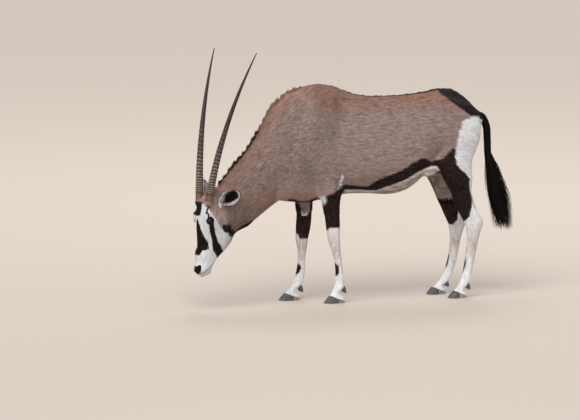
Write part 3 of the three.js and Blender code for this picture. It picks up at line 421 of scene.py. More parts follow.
def in_chunks(field, points, size=200000):
    return np.concatenate([field(points[i : i + size]) for i in range(0, len(points), size)])


def gradient(field, points):
    ahead, behind = ([in_chunks(field, points + axis * way) for axis in np.eye(3)] for way in (1, -1))
    return (np.stack(ahead, 1) - np.stack(behind, 1)) / 2


def where_skin_lies(starts, way, low, high, rounds=18):
    """How far along a way from starts the skin lies, inside at low and outside at high."""
    low, high = np.full(len(starts), float(low)), np.full(len(starts), float(high))
    for _ in range(rounds):
        mid = (low + high) / 2
        outside = skin_field(starts + way * mid[:, None]) > 0
        low, high = np.where(outside, low, mid), np.where(outside, mid, high)
    return low


# A field's surface as a mesh, on a grid with uneven steps


def steps_between(stops):
    """Grid lines from rows of (start, step), with the last row the end."""
    lines = [np.arange(a, b, step) for (a, step), (b, _) in zip(stops, stops[1:])]
    return np.concatenate([*lines, [stops[-1][0]]])


def coarse_to_fine(values, lines, picked):
    """Fills a fine grid from values at the picked lines of each axis."""
    for axis, (line, pick) in enumerate(zip(lines, picked)):
        j = np.clip(np.searchsorted(pick, np.arange(len(line)), side="right") - 1, 0, len(pick) - 2)
        span = line[pick[j + 1]] - line[pick[j]]
        t = (line - line[pick[j]]) / span
        shape = [1, 1, 1]
        shape[axis] = len(line)
        t = t.reshape(shape).astype(np.float32)
        values = np.take(values, j, axis) * (1 - t) + np.take(values, j + 1, axis) * t
    return values


def surface_of(field, lines, band=30.0):
    """One point in each cell that the surface crosses, and one face for each grid line that it crosses.

    The field is worked out on every fourth grid line, and on all of them within a band of the surface.
    """
    picked = [np.unique(np.append(np.arange(0, len(line), 4), len(line) - 1)) for line in lines]
    coarse_lines = [line[pick] for line, pick in zip(lines, picked)]
    nodes = np.stack(np.meshgrid(*coarse_lines, indexing="ij"), -1).reshape(-1, 3)
    coarse = in_chunks(field, nodes).reshape([len(line) for line in coarse_lines]).astype(np.float32)
    values = coarse_to_fine(np.clip(coarse, -200, 200), lines, picked)
    near = np.argwhere(np.abs(values) < band)
    places = np.stack([line[near[:, axis]] for axis, line in enumerate(lines)], 1)
    values[tuple(near.T)] = in_chunks(field, places)
    inside = values < 0
    held = 0
    for i, j, k in np.ndindex(2, 2, 2):
        held = held + inside[i : i - 1 or None, j : j - 1 or None, k : k - 1 or None].astype(np.int8)
    cells = np.argwhere((held > 0) & (held < 8))
    number = np.full(held.shape, -1, np.int32)
    number[tuple(cells.T)] = np.arange(len(cells))
    total, crossings = np.zeros((len(cells), 3)), np.zeros(len(cells))
    for axis in range(3):
        for corner in np.ndindex(2, 2):
            start = cells + np.insert(corner, axis, 0)
            end = start + np.eye(3, dtype=int)[axis]
            va, vb = values[tuple(start.T)], values[tuple(end.T)]
            crossed = (va < 0) != (vb < 0)
            t = np.where(crossed, va / np.where(crossed, va - vb, 1), 0)[:, None]
            pa = np.stack([line[start[:, i]] for i, line in enumerate(lines)], 1)
            pb = np.stack([line[end[:, i]] for i, line in enumerate(lines)], 1)
            total += np.where(crossed[:, None], pa + (pb - pa) * t, 0)
            crossings += crossed
    points = total / crossings[:, None]
    faces = []
    for axis in range(3):
        u, v = (axis + 1) % 3, (axis + 2) % 3
        head = [slice(None)] * 3
        tail = [slice(None)] * 3
        head[axis], tail[axis] = slice(None, -1), slice(1, None)
        edges = np.argwhere(inside[tuple(head)] != inside[tuple(tail)])
        edges = edges[(edges[:, u] > 0) & (edges[:, v] > 0)]
        around = []
        for du, dv in ((-1, -1), (0, -1), (0, 0), (-1, 0)):
            cell = edges.copy()
            cell[:, u] += du
            cell[:, v] += dv
            around.append(number[tuple(cell.T)])
        quads = np.stack(around, 1)
        outward = inside[tuple(edges.T)]
        quads[~outward] = quads[~outward][:, ::-1]
        faces.append(quads)
    return points, np.concatenate(faces)


def settled(field, points, limit):
    """Points moved onto the field's surface."""
    for _ in range(2):
        slope = gradient(field, points)
        here = in_chunks(field, points)
        step = -here[:, None] * slope / np.maximum((slope**2).sum(1), 0.2)[:, None]
        length = np.linalg.norm(step, axis=1, keepdims=True)
        points = points + step * np.minimum(1, limit / np.maximum(length, 1e-9))
    return points


# From the animal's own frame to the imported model's
eye_middle = np.mean(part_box("eye_left"), axis=0)
SHIFT = np.array([*(eye_middle * 1000 - eye_frames[LEFT].origin)[:2], 0])


def add_holder(name, data):
    holder = bpy.data.objects.new(name, data)
    bpy.context.scene.collection.objects.link(holder)
    return holder


def add_piece(name, points, faces, attributes, material, replaces=(), uv=None):
    """A piece from points in millimetres. Attributes are {name: a number or vector for each point}."""
    mesh = bpy.data.meshes.new(name)
    faces = np.asarray(faces, np.int32)
    mesh.vertices.add(len(points))
    mesh.vertices.foreach_set("co", ((points + SHIFT) / 1000).astype(np.float32).ravel())
    mesh.loops.add(faces.size)
    mesh.loops.foreach_set("vertex_index", faces.ravel())
    mesh.polygons.add(len(faces))
    mesh.polygons.foreach_set("loop_start", np.arange(0, faces.size, faces.shape[1], dtype=np.int32))
    mesh.polygons.foreach_set("use_smooth", np.full(len(faces), True))
    for key, values in attributes.items():
        values = np.asarray(values, np.float32)
        kind, field = ("FLOAT", "value") if values.ndim == 1 else ("FLOAT_VECTOR", "vector")
        mesh.attributes.new(key, kind, "POINT").data.foreach_set(field, values.ravel())
    if uv is not None:
        layer = mesh.uv_layers.new(name="OFBake")
        layer.data.foreach_set("uv", np.asarray(uv, np.float32)[faces.ravel()].ravel())
    mesh.update(calc_edges=True)
    mesh.validate()
    mesh.materials.append(material)
    piece = add_holder(name, mesh)
    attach(piece, "root")
    if replaces:
        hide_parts(*replaces)


# Markings: outlines on the animal's left side in (x, z), mirrored to its right

STRIPE = [
    (-325, 668), (-303, 681), (-243, 670), (-193, 662), (-160, 659), (-139, 674), (-118, 694), (-70, 716),
    (0, 743), (49, 764), (88, 792), (135, 814), (163, 816), (193, 799), (219, 788), (240, 795),
    (268, 797), (293, 815), (317, 840), (344, 868), (355, 846), (350, 814), (359, 770), (381, 743),
    (416, 716), (440, 690), (446, 637), (455, 604), (467, 558), (464, 514), (456, 466), (431, 436),
    (405, 440), (372, 514), (346, 573), (326, 618), (310, 665), (295, 703), (263, 745), (242, 765),
    (219, 764), (180, 755), (115, 731), (58, 696), (3, 675), (-54, 652), (-98, 634), (-151, 636),
    (-181, 641), (-234, 644), (-318, 647),
]
BELLY = [
    (-318, 643), (-234, 640), (-181, 638), (-151, 632), (-98, 630), (-54, 649), (3, 672), (58, 693),
    (115, 728), (180, 752), (219, 762), (242, 765), (263, 745), (295, 703), (310, 665), (340, 600),
    (280, 540), (-318, 530),
]
BUTTOCK = [
    (453, 1038), (395, 1015), (379, 972), (365, 922), (357, 877), (350, 860), (350, 814), (359, 770),
    (381, 743), (416, 716), (440, 690), (446, 637), (455, 600), (500, 560), (640, 560), (640, 1040),
    (560, 1030), (500, 1045),
]
CROUP = [
    (262, 1192), (280, 1184), (299, 1172), (311, 1148), (346, 1117), (395, 1080), (453, 1043),
    (512, 1036), (561, 1005), (700, 990), (700, 1100), (520, 1200), (400, 1260), (262, 1260),
]
FORE_BAND = [
    (-412, 556), (-402, 598), (-411, 625), (-395, 630), (-375, 635), (-354, 650), (-344, 663),
    (-328, 662), (-280, 645), (-270, 470), (-307, 432), (-372, 433), (-382, 416), (-440, 420),
    (-450, 540),
]
ARMPIT = [(-432, 618), (-418, 624), (-404, 600), (-414, 562), (-432, 556), (-446, 590)]
INNER_FORE = [(-430, 640), (-424, 590), (-368, 530), (-318, 590), (-300, 640)]
BRISKET = [
    (-602, 608), (-575, 599), (-549, 591), (-513, 586), (-484, 594), (-466, 605), (-450, 613),
    (-436, 606), (-440, 590), (-460, 550), (-640, 550),
]
STOCKINGS = [
    (-900, -50), (900, -50), (900, 600), (500, 600), (472, 560), (467, 514), (457, 466), (431, 434),
    (380, 470), (300, 500), (200, 540), (-200, 540), (-275, 445), (-307, 430), (-372, 431), (-382, 414),
    (-440, 414), (-900, 430),
]
# On the head, outlines in (up the face, out from it), and on its front in (up, to the side)
EYE_STRIPE = [
    (304, -28), (285, -36), (229, -55), (187, -70), (139, -74), (87, -114), (60, -150), (80, -205),
    (117, -178), (136, -147), (186, -99), (229, -81), (289, -57), (308, -58),
]
CHEEK_STRIPE = [
    (282, -124), (274, -120), (252, -126), (222, -165), (196, -210), (172, -262), (200, -288),
    (214, -260), (240, -200), (268, -158), (282, -140),
]
THROAT = [(222, -236), (254, -246), (270, -280), (288, -318), (272, -362), (216, -280)]
FACE_WHITE = [
    (425, -10), (402, -18), (382, -37), (353, -51), (318, -75), (275, -105), (245, -128), (226, -160),
    (202, -195), (184, -236), (170, -285), (-40, -260), (-40, 60), (425, 60),
]
FOREHEAD = [(412, -70), (412, 15), (378, 20), (350, 19), (338, 17), (335, -20), (338, -70)]
BLAZE = [
    (320, -5), (305, 3), (280, 13), (251, 22), (225, 28), (202, 33), (165, 39), (147, 43), (142, 36),
    (141, 26), (122, 18), (114, 12), (112, -10), (114, -30), (150, -48), (202, -34), (251, -24),
    (305, -12),
]
NOSE_PATCH = [(50, -30), (52, 0), (61, 14), (60, 25), (46, 32), (22, 27), (10, 8), (10, -30)]
BROW_LINE = [(388, -37), (350, -25), (330, -27)]
EAR_FRONT = [(440, -138), (392, -116)]


def along_line(line, points):
    """How far points in a plane lie from a bent line."""
    nearest = np.full(len(points), 1e9)
    for a, b in zip(np.array(line[:-1], float), np.array(line[1:], float)):
        t = np.clip((points - a) @ (b - a) / ((b - a) @ (b - a)), 0, 1)
        nearest = np.minimum(nearest, np.linalg.norm(points - a - t[:, None] * (b - a), axis=1))
    return nearest


def inside_by(outline, points):
    """How far points in a plane lie inside an outline: negative outside it."""
    outline = np.array(outline, float)
    nearest = np.full(len(points), 1e9)
    crossings = np.zeros(len(points), bool)
    px, py = points.T
    for (ax, ay), (bx, by) in zip(outline, np.roll(outline, -1, 0)):
        dx, dy = bx - ax, by - ay
        t = np.clip(((px - ax) * dx + (py - ay) * dy) / (dx * dx + dy * dy), 0, 1)
        nearest = np.minimum(nearest, np.hypot(px - ax - t * dx, py - ay - t * dy))
        if ay != by:
            crossings ^= ((ay > py) != (by > py)) & (px < ax + (py - ay) * dx / dy)
    return np.where(crossings, nearest, -nearest)


leg_rows = {name: smooth_rows(rows) for name, rows in LEGS.items()}
neck_rows = smooth_rows(NECK_ROWS)


def leg_middle(name, z):
    row = leg_rows[name](z)
    return (row[:, 1] + row[:, 2]) / 2, row[:, 3]


def as_left(points):
    """The place on the left side that has the same marking: the right legs stand elsewhere."""
    x, y, z = points.T
    near = rise(z, 900, 640) * (y > 0)
    fore = leg_middle("fore_right", z)[0] - leg_middle("fore_left", z)[0]
    hind = leg_middle("hind_right", z)[0] - leg_middle("hind_left", z)[0]
    shift = np.where(x > 0, rise(x, 60, 200) * hind, rise(x, -300, -360) * fore)
    # The stockings reach less far up on the inside of the legs, and slant there on the forelegs
    middle = np.abs(leg_middle("hind_left", z)[1])
    inside = rise(middle - np.abs(y), 0, 18) * rise(z, 560, 500)
    flat_x = x - shift * near
    lift = np.where(x > 0, 42, 20 + 60 * rise(flat_x, -392, -357))
    return np.stack([flat_x - 34 * inside * (x > 0), z + lift * inside], 1)


def from_eyes(points):
    """How far points lie from the front of the nearer eye."""
    fronts = [f.world(0, EYE_RADIUS, 0) for f in eye_frames.values()]
    return np.min([np.linalg.norm(points - front, axis=1) for front in fronts], 0)


def body_marks(x, y, z, flat, patch):
    """How far points lie inside the body's black and white parts, and how far its white underside is painted
    tan as reflected light from the ground.
    """
    away = np.abs(y)
    black = np.maximum(inside_by(STRIPE, flat), inside_by(FORE_BAND, flat))
    black = np.where(x > 200, np.minimum(black, np.maximum(away - 108, (548 - z) * 0.6)), black)
    black = np.where((x < -250) & (z > 480), np.minimum(black, -patch), black)
    black = np.maximum(black, np.minimum(inside_by(CROUP, np.stack([x, z], 1)), 260 - away))
    black = np.maximum(black, inside_by(BRISKET, flat))
    ridge = 9 + 10 * rise(x, 60, 320) - away
    black = np.maximum(black, np.where((x > -330) & (z > 1120), ridge, -99))
    black = np.where(x < -380, np.minimum(black, 2 - inside_by(ARMPIT, flat)), black)
    white = np.maximum(inside_by(BELLY, flat), inside_by(BUTTOCK, flat))
    # Painted reflected light: the white underside is tinted tan as if lit from the warm ground below.
    painted_belly_reflection = rise(white, 6, 14) * (z > 540) * (x > -340) * (x < 300)
    white = np.max([white, inside_by(STOCKINGS, flat), inside_by(ARMPIT, flat), patch - (z > 545) * 60], 0)
    white = np.where((x > 200) & (away < 100) & (z < 780), np.maximum(white, 98 - away), white)
    for name in LEGS:
        middle_x, middle_y = leg_middle(name, z)
        fore = name.startswith("fore")
        low, tall, wide = {"fore_left": (165, 36, 21), "fore_right": (150, 34, 18)}.get(name, (160, 40, 9))
        front = leg_rows[name](z)[:, 1]
        spot = wide - np.hypot((y - middle_y) * 0.75, (z - low - 26) * wide / tall)
        spot = np.where((np.abs(x - middle_x) < 60) & (x < front + (17 if fore else 9)), spot, -99)
        black = np.maximum(black, spot)
    return black, white, painted_belly_reflection


def head_marks(points):
    """How far points lie inside the head's black and white parts."""
    up, out, left = HEAD.local(points).T
    aside = np.abs(left)
    side = np.stack([up, out], 1)
    face = np.maximum(inside_by(EYE_STRIPE, side), inside_by(CHEEK_STRIPE, side))
    face = np.minimum(face, aside - 20)
    face = np.maximum(face, np.where(aside < 80, inside_by(THROAT, side), -60))
    face = np.maximum(face, np.where((aside > 30) & (out > -60), 4 - along_line(BROW_LINE, side), -60))
    front = np.stack([up, left], 1)
    frontal = np.maximum(inside_by(FOREHEAD, front), inside_by(BLAZE, front))
    face = np.maximum(face, np.where(out > np.where(up > 325, -68, -50), frontal, -60))
    nose_black = np.where(out > -40, inside_by(NOSE_PATCH, front), -60)
    lips = 2.2 - np.abs(up - lip_line(out)) * 0.8
    lips = np.where((up < 80) & (out > -76), lips, -60)
    face = np.max([face, nose_black, lips, 25 - from_eyes(points)], 0)
    return np.maximum(face, -60), np.maximum(inside_by(FACE_WHITE, side), 13 - along_line(EAR_FRONT, side))


def markings(points):
    """How far points lie inside the black and the white parts; their brightness, which carries painted shade
    and light; their tan, from dirt on the legs and from painted shade and reflected light; and their warmth.
    """
    x, y, z = points.T
    flat = as_left(points)
    away = np.abs(y)
    patch = np.minimum(inside_by(INNER_FORE, flat), np.clip((95 - away) / 14, -1, 1) * 30)
    black, white, painted_belly_reflection = body_marks(x, y, z, flat, patch)
    face, pale = head_marks(points)
    up, out, _ = HEAD.local(points).T
    on_head_part = (x < -840) & (up < 460)
    crisp = 2.2  # since the face's short hair keeps its edges cleaner
    black = np.where(on_head_part, face * crisp, np.where(x > -760, black, -60))
    white = np.where(on_head_part, pale * crisp, np.where(x > -760, white, -60))

    along, high, _ = NECK.local(points).T
    neck_part = rise(x, -440, -500)
    crest = rise(neck_rows(along)[:, 2] - high, 90, 0) * neck_part
    crest = crest * (1 - on_head_part * rise(up, 480, 420))
    # Painted shade and light: on the body the coat is darker towards the top and lighter below, to even out
    # the strong light from above.
    tone_and_painted_light = 0.44 - 0.06 * np.clip((z - 900) / 250, -1, 1) * (1 - neck_part)
    # The neck is darker lower down, and a painted highlight along its crest stands for the light from above.
    tone_and_painted_light = tone_and_painted_light - neck_part * (0.05 - 0.05 * np.clip((z - 760) / 300, -1, 1)) + 0.14 * crest
    # elbow: painted shade down the groove between the neck and the front of the shoulder.
    elbow = np.exp(-(((x + 560) / 46) ** 2)) * rise(z, 1000, 840) * rise(z, 560, 620)
    # Then the groove's painted shade is taken off, and the lower chest is made lighter: its fur is paler
    # there, and painted light also evens out the shade where the chest faces down.
    tone_and_painted_light = tone_and_painted_light - 0.06 * elbow + 0.4 * rise(z, 760, 630) * (x < -370) * (x > -700) * (z > 540)
    tone_and_painted_light = tone_and_painted_light + 0.2 * rise(np.hypot(up - 340, out + 110), 110, 0) * on_head_part
    back = rise(z, 1060, 1130) * rise(x, -560, -440)
    horn_root = rise(np.hypot(up - 405, out + 60), 46, 0) * on_head_part
    # Painted shade on the inner sides of the upper legs, where the body shades them: the white there is
    # darkened and turned tan.
    painted_inner_leg_shade = (x > 200) & (away < 100) & (z > 520) & (z < 800)
    painted_inner_leg_shade = painted_inner_leg_shade | ((x < -250) & (z > 490) & (z < 640) & (patch > -10))
    tone_and_painted_light = np.where(on_head_part & (pale > 0), 0.22, np.where(painted_inner_leg_shade & (white > 0), 0.12, tone_and_painted_light))
    chest = rise(z, 680, 610) * (x < -380) * (z > 560)
    warm = np.max([0.95 * back, 0.9 * crest, 0.8 * horn_root, 0.5 * chest], 0)
    # Real dirt: the white legs are stained tan around the knees; the painted light is joined to it below.
    stain_and_painted_light = rise(np.abs(z - 300), 190, 0) * (z < 520) * (x > -760) * 0.62
    # The tan share: the knees' dirt, the painted reflected light on the underside and the painted shade on
    # the inner legs.
    return black, white, tone_and_painted_light, np.max([stain_and_painted_light, painted_belly_reflection, painted_inner_leg_shade], 0), warm.clip(0, 1)


def lie_of(points, normals):
    """The way the hair lies, along the surface: back along the body and down the legs."""
    x, _, z = points.T
    up, out, _ = HEAD.local(points).T
    way = vectors(1.0, 0, -0.28 - 0.25 * rise(z, 1000, 1200))
    way = blend(way, (0, 0, -0.55) - NECK.axes[0], rise(x, -330, -490))
    way = blend(way, np.array([0.15, 0, -1.0]), rise(z, 640, 520) * (x > -800))
    way = blend(way, np.array([0.35, 0, -1.0]), rise(x, 380, 500))
    on_face = rise(up, 430, 370) * rise(out, -330, -240) * (x < -820)
    way = blend(way, HEAD.axes[0] - HEAD.axes[1] * 0.5, on_face)
    way = way - normals * (way * normals).sum(1, keepdims=True)
    return way / np.maximum(np.linalg.norm(way, axis=1, keepdims=True), 1e-6)


def blend(a, b, share):
    """From rows a to rows b by a share for each row."""
    share = share[:, None]
    return a * (1 - share) + b * share


def grain_of(points):
    """Coordinates in metres that are drawn out along the hair, so that a noise in them makes strokes."""
    x, _, z = points.T
    squeeze = 0.28
    along = (squeeze, 1, 1)
    on_face = HEAD.local(points)
    grain = blend(points * along, NECK.local(points) * along, rise(x, -400, -460))
    grain = blend(grain, points * (1, 1, squeeze), rise(z, 600, 540) * (x > -800))
    return blend(grain, on_face * along, rise(on_face[:, 0], 430, 390) * (x < -860)) / 1000


def bake_place(points):
    """Where a point lies on an unwrap of the skin: its left and right sides, one above the other."""
    x, y, z = points.T
    return np.stack([(x + 1260) / 2060, 0.5 * (y > 0) + 0.49 * rise(z, 0, 1260)], 1)


# The camera, at the photograph's angle, and a plain studio

RIGHTWARD = np.array([0.9511, -0.3090, 0.0])
UPWARD = np.array([0.0377, 0.1159, 0.9925])
BACKWARD = np.array([-0.3067, -0.9440, 0.1219])
PIXELS_PER_METRE = 177.0
PHOTO_WIDTH, PHOTO_HEIGHT = 580, 420
ORIGIN_ACROSS, ORIGIN_DOWN = 385, 298.2  # the pixel at which the animal's own origin shows
CAMERA_DISTANCE = 60.0
SENSOR_WIDTH = 36
FLOOR_COLOUR, FLOOR_REACH = (0.56, 0.485, 0.42, 1), 90
SKY_COLOUR, SKY_STRENGTH = (0.86, 0.88, 0.93, 1), 0.74
KEY_STRENGTH, KEY_SPREAD, KEY_COLOUR = 2.4, 50, (1.0, 0.985, 0.96)
KEY_WAY = (5.0, 7.0, -9.0)
# Lamps' places, sizes and powers, in metres and watts, and the place they are aimed at
LAMPS = {"rim": ((2.0, 5.5, 7.0), 4.0, 160), "catch": ((-2.5, -8.0, 3.5), 0.6, 28)}
AIM = (0, 0, 0.7)


def add_camera():
    """The photograph's view, from so far away that it has next to no perspective."""
    across = (PHOTO_WIDTH / 2 - ORIGIN_ACROSS) / PIXELS_PER_METRE
    above = (ORIGIN_DOWN - PHOTO_HEIGHT / 2) / PIXELS_PER_METRE
    target = SHIFT / 1000 + RIGHTWARD * across + UPWARD * above
    camera = bpy.data.cameras.new("camera")
    camera.sensor_width = SENSOR_WIDTH
    camera.lens = PIXELS_PER_METRE * SENSOR_WIDTH * CAMERA_DISTANCE / PHOTO_WIDTH
    camera.clip_end = 500
    holder = add_holder("camera", camera)
    turned = Matrix((RIGHTWARD, UPWARD, BACKWARD)).transposed().to_4x4()
    holder.matrix_world = Matrix.Translation(Vector(target + BACKWARD * CAMERA_DISTANCE)) @ turned
    bpy.context.scene.camera = holder


def add_light(name, place, size, power):
    """A round lamp."""
    lamp = bpy.data.lights.new(name, "AREA")
    lamp.shape, lamp.size, lamp.energy = "DISK", size, power
    holder = add_holder(name, lamp)
    holder.location = place
    holder.rotation_euler = (Vector(AIM) - Vector(place)).to_track_quat("-Z", "Y").to_euler()


def add_studio():
    """Broad soft light from over the camera's left shoulder, on a plain pale floor."""
    sun = bpy.data.lights.new("key", "SUN")
    sun.energy, sun.angle, sun.color = KEY_STRENGTH, np.radians(KEY_SPREAD), KEY_COLOUR
    add_holder("key", sun).rotation_euler = Vector(KEY_WAY).to_track_quat("-Z", "Y").to_euler()
    for name, lamp in LAMPS.items():
        add_light(name, *lamp)
    world = bpy.data.worlds.new("studio")
    world.use_nodes = True
    background = world.node_tree.nodes["Background"]
    background.inputs["Color"].default_value = SKY_COLOUR
    background.inputs["Strength"].default_value = SKY_STRENGTH
    bpy.context.scene.world = world
    bpy.context.scene.view_settings.view_transform = "Standard"
    mesh = bpy.data.meshes.new("floor")
    corners = [(x * FLOOR_REACH, y * FLOOR_REACH, 0) for x, y in ((-1, -1), (1, -1), (1, 1), (-1, 1))]
    mesh.from_pydata(corners, [], [(0, 1, 2, 3)])
    floor = add_holder("floor", mesh)
    look = Nodes("floor").finish(Base_Color=FLOOR_COLOUR, Roughness=0.95, Specular_IOR_Level=0.1)
    mesh.materials.append(look)


# Materials


class Nodes:
    """A material's nodes, added and linked in one call each."""

    def __init__(self, name):
        self.material = bpy.data.materials.new(name)
        self.material.use_nodes = True
        self.tree = self.material.node_tree
        self.shader = self.tree.nodes["Principled BSDF"]

    def fill(self, node, inputs):
        """Links or sets a node's inputs, given by their numbers or names."""
        for key, value in inputs.items():
            socket = node.inputs[key]
            if isinstance(value, bpy.types.NodeSocket):
                self.tree.links.new(value, socket)
            else:
                socket.default_value = value

    def add(self, kind, inputs, output, **settings):
        node = self.tree.nodes.new("ShaderNode" + kind)
        for key, value in settings.items():
            setattr(node, key, value)
        self.fill(node, inputs)
        return node.outputs[output]

    def attribute(self, name, output="Fac"):
        return self.add("Attribute", {}, output, attribute_name=name)

    def math(self, operation, *values):
        return self.add("Math", dict(enumerate(values)), 0, operation=operation)

    def times(self, a, b):
        return self.math("MULTIPLY", a, b)

    def plus(self, a, b):
        return self.math("ADD", a, b)

    def noise(self, scale, detail=3.0, roughness=0.55):
        """A noise in the piece's own grain coordinates."""
        place = self.attribute("grain", "Vector")
        inputs = {"Vector": place, "Scale": scale, "Detail": detail, "Roughness": roughness}
        return self.add("TexNoise", inputs, "Fac")

    def ramp(self, value, low, high):
        return self.add("MapRange", {"Value": value, "From Min": low, "From Max": high}, "Result")

    def mix(self, share, a, b):
        return self.add("Mix", {0: share, 6: a, 7: b}, 2, data_type="RGBA")

    def bump(self, height, distance, strength):
        return self.add("Bump", {"Height": height, "Distance": distance, "Strength": strength}, "Normal")

    def finish(self, **inputs):
        self.fill(self.shader, {key.replace("_", " "): value for key, value in inputs.items()})
        return self.material


# Pairs of colours, dark and light
FAWN = (0.105, 0.066, 0.058, 1), (0.47, 0.355, 0.325, 1)
WARM = (0.12, 0.056, 0.036, 1), (0.47, 0.275, 0.20, 1)
WHITE = (0.48, 0.475, 0.47, 1), (0.88, 0.89, 0.92, 1)
BLACK = (0.003, 0.0022, 0.002, 1), (0.046, 0.027, 0.021, 1)
# Tan on white hair: for dirt, and for painted shade and painted reflected light
TAN = (0.20, 0.125, 0.085, 1), (0.52, 0.39, 0.29, 1)
EAR_BACK = (0.22, 0.15, 0.125, 1), (0.42, 0.33, 0.29, 1)
HORN_GROOVE = (0.009, 0.0068, 0.0055, 1), (0.032, 0.024, 0.019, 1)
# The ridges' pale colour is a painted highlight
HORN_RIDGE_HIGHLIGHT = (0.11, 0.083, 0.066, 1), (0.36, 0.29, 0.24, 1)
HORN_BASE = (0.055, 0.030, 0.018, 1), (0.23, 0.14, 0.09, 1)
SLATE = (0.030, 0.031, 0.037, 1), (0.105, 0.105, 0.115, 1)
HEEL = (0.19, 0.15, 0.12, 1), (0.46, 0.39, 0.33, 1)
LID = (0.004, 0.0035, 0.003, 1), (0.016, 0.013, 0.012, 1)
# Single colours
HORN_STREAK = (0.085, 0.068, 0.055, 1)
HOOF_DUST = (0.36, 0.31, 0.27, 1)
EAR_CUP = (0.010, 0.006, 0.005, 1)
EYE_RIM, IRIS, PUPIL = (0.018, 0.012, 0.010, 1), (0.020, 0.009, 0.004, 1), (0.002, 0.002, 0.003, 1)


def coat_material(name, strands=False):
    """The coat's markings from the distances that the pieces carry, with their edges broken by the hair."""
    n = Nodes(name)
    fine, tufted, broad = n.noise(330.0, 2.0), n.noise(105.0, 2.0, 0.7), n.noise(42.0)
    spread = n.times(n.math("SUBTRACT", n.plus(fine, tufted), 1.0), 13.0)
    own = n.attribute("shade") if strands else fine
    grain = n.plus(n.plus(n.times(own, 0.35), n.times(tufted, 1.3)), n.times(broad, 0.4))
    grain = n.ramp(grain, 0.66, 1.39)
    # The brightness attribute carries painted shade and light from the markings.
    toned = n.ramp(n.plus(n.times(grain, 0.62), n.math("SUBTRACT", n.attribute("tone_and_painted_light"), 0.30)), 0.0, 1.0)
    fawn = n.mix(n.ramp(n.attribute("warm"), 0.0, 1.1), n.mix(toned, *FAWN), n.mix(toned, *WARM))
    # Tan over the white: from dirt on the legs, and from painted shade on the inner legs and painted
    # reflected light on the underside.
    stain_and_painted_light_share = n.times(n.ramp(n.attribute("stain_and_painted_light"), 0.0, 1.0), n.ramp(broad, 0.30, 0.55))
    shaded = n.times(grain, n.ramp(n.attribute("tone_and_painted_light"), 0.0, 0.4))
    white = n.mix(stain_and_painted_light_share, n.mix(shaded, *WHITE), n.mix(shaded, *TAN))
    black = n.mix(n.math("POWER", shaded, 1.6), *BLACK)
    in_white = n.ramp(n.plus(n.attribute("white"), spread), -4.0, 4.0)
    in_black = n.ramp(n.plus(n.attribute("black"), spread), -2.5, 2.5)
    colour = n.mix(in_black, n.mix(in_white, fawn, white), black)
    if strands:
        return n.finish(Base_Color=colour, Roughness=0.6, Specular_IOR_Level=0.1)
    height = n.plus(n.times(fine, 0.7), n.times(tufted, 0.8))
    bump = n.bump(height, 0.0035, 0.6)
    return n.finish(Base_Color=colour, Roughness=0.75, Specular_IOR_Level=0.1, Normal=bump)


def horn_material():
    """Dark horn with ridges painted pale as a highlight between near-black grooves, and a brown base."""
    n = Nodes("horn")
    along = n.attribute("along")
    fine, broad = n.noise(900.0), n.noise(130.0)
    both = n.plus(fine, broad)
    streak = n.times(n.ramp(both, 0.95, 1.3), n.ramp(along, 1.0, 0.5))
    dark = n.mix(n.times(streak, 0.5), n.mix(n.ramp(broad, 0.3, 0.7), *HORN_GROOVE), HORN_STREAK)
    # Painted highlight: the ridges are painted pale, most of all low on the horn.
    pale = n.mix(n.ramp(fine, 0.3, 0.7), *HORN_RIDGE_HIGHLIGHT)
    kept = n.plus(n.times(n.ramp(along, 0.36, 0.2), 0.72), 0.28)
    ridge = n.times(n.ramp(n.attribute("ring"), 0.6, 0.88), n.times(kept, n.ramp(along, 0.56, 0.42)))
    colour = n.mix(n.times(ridge, n.ramp(broad, 0.2, 0.55)), dark, pale)
    base = n.ramp(n.plus(along, n.times(broad, 0.03)), 0.105, 0.075)
    colour = n.mix(base, colour, n.mix(n.ramp(both, 0.75, 1.25), *HORN_BASE))
    rough, bump = n.ramp(broad, -1.0, 1.6), n.bump(both, 0.0012, 0.6)
    return n.finish(Base_Color=colour, Roughness=rough, Specular_IOR_Level=0.35, Normal=bump)


def hoof_material():
    """A slate-grey wall, a pale heel, and dust at the ground."""
    n = Nodes("hoof")
    fine, broad = n.noise(700.0), n.noise(90.0)
    colour = n.mix(n.ramp(broad, 0.3, 0.7), *SLATE)
    at_heel = n.ramp(n.plus(n.attribute("heel"), n.times(broad, 0.5)), 0.6, 0.9)
    colour = n.mix(at_heel, colour, n.mix(n.ramp(n.plus(fine, broad), 0.7, 1.3), *HEEL))
    scuffed = n.times(n.ramp(n.attribute("worn"), 0.0, 1.0), n.ramp(fine, 0.4, 0.7))
    colour = n.mix(scuffed, colour, HOOF_DUST)
    return n.finish(Base_Color=colour, Roughness=0.5, Normal=n.bump(fine, 0.0012, 0.5))


def eye_material():
    """A dark ball with a dark brown iris and a pupil."""
    n = Nodes("eye")
    facing = n.attribute("facing")
    colour = n.mix(n.ramp(facing, 0.90, 0.93), n.mix(n.ramp(facing, 0.72, 0.80), EYE_RIM, IRIS), PUPIL)
    return n.finish(Base_Color=colour, Roughness=0.04, Specular_IOR_Level=0.24)


def lid_material():
    n = Nodes("lid")
    fine = n.noise(900.0)
    bump = n.bump(fine, 0.0006, 0.5)
    return n.finish(Base_Color=n.mix(fine, *LID), Roughness=0.6, Specular_IOR_Level=0.1, Normal=bump)


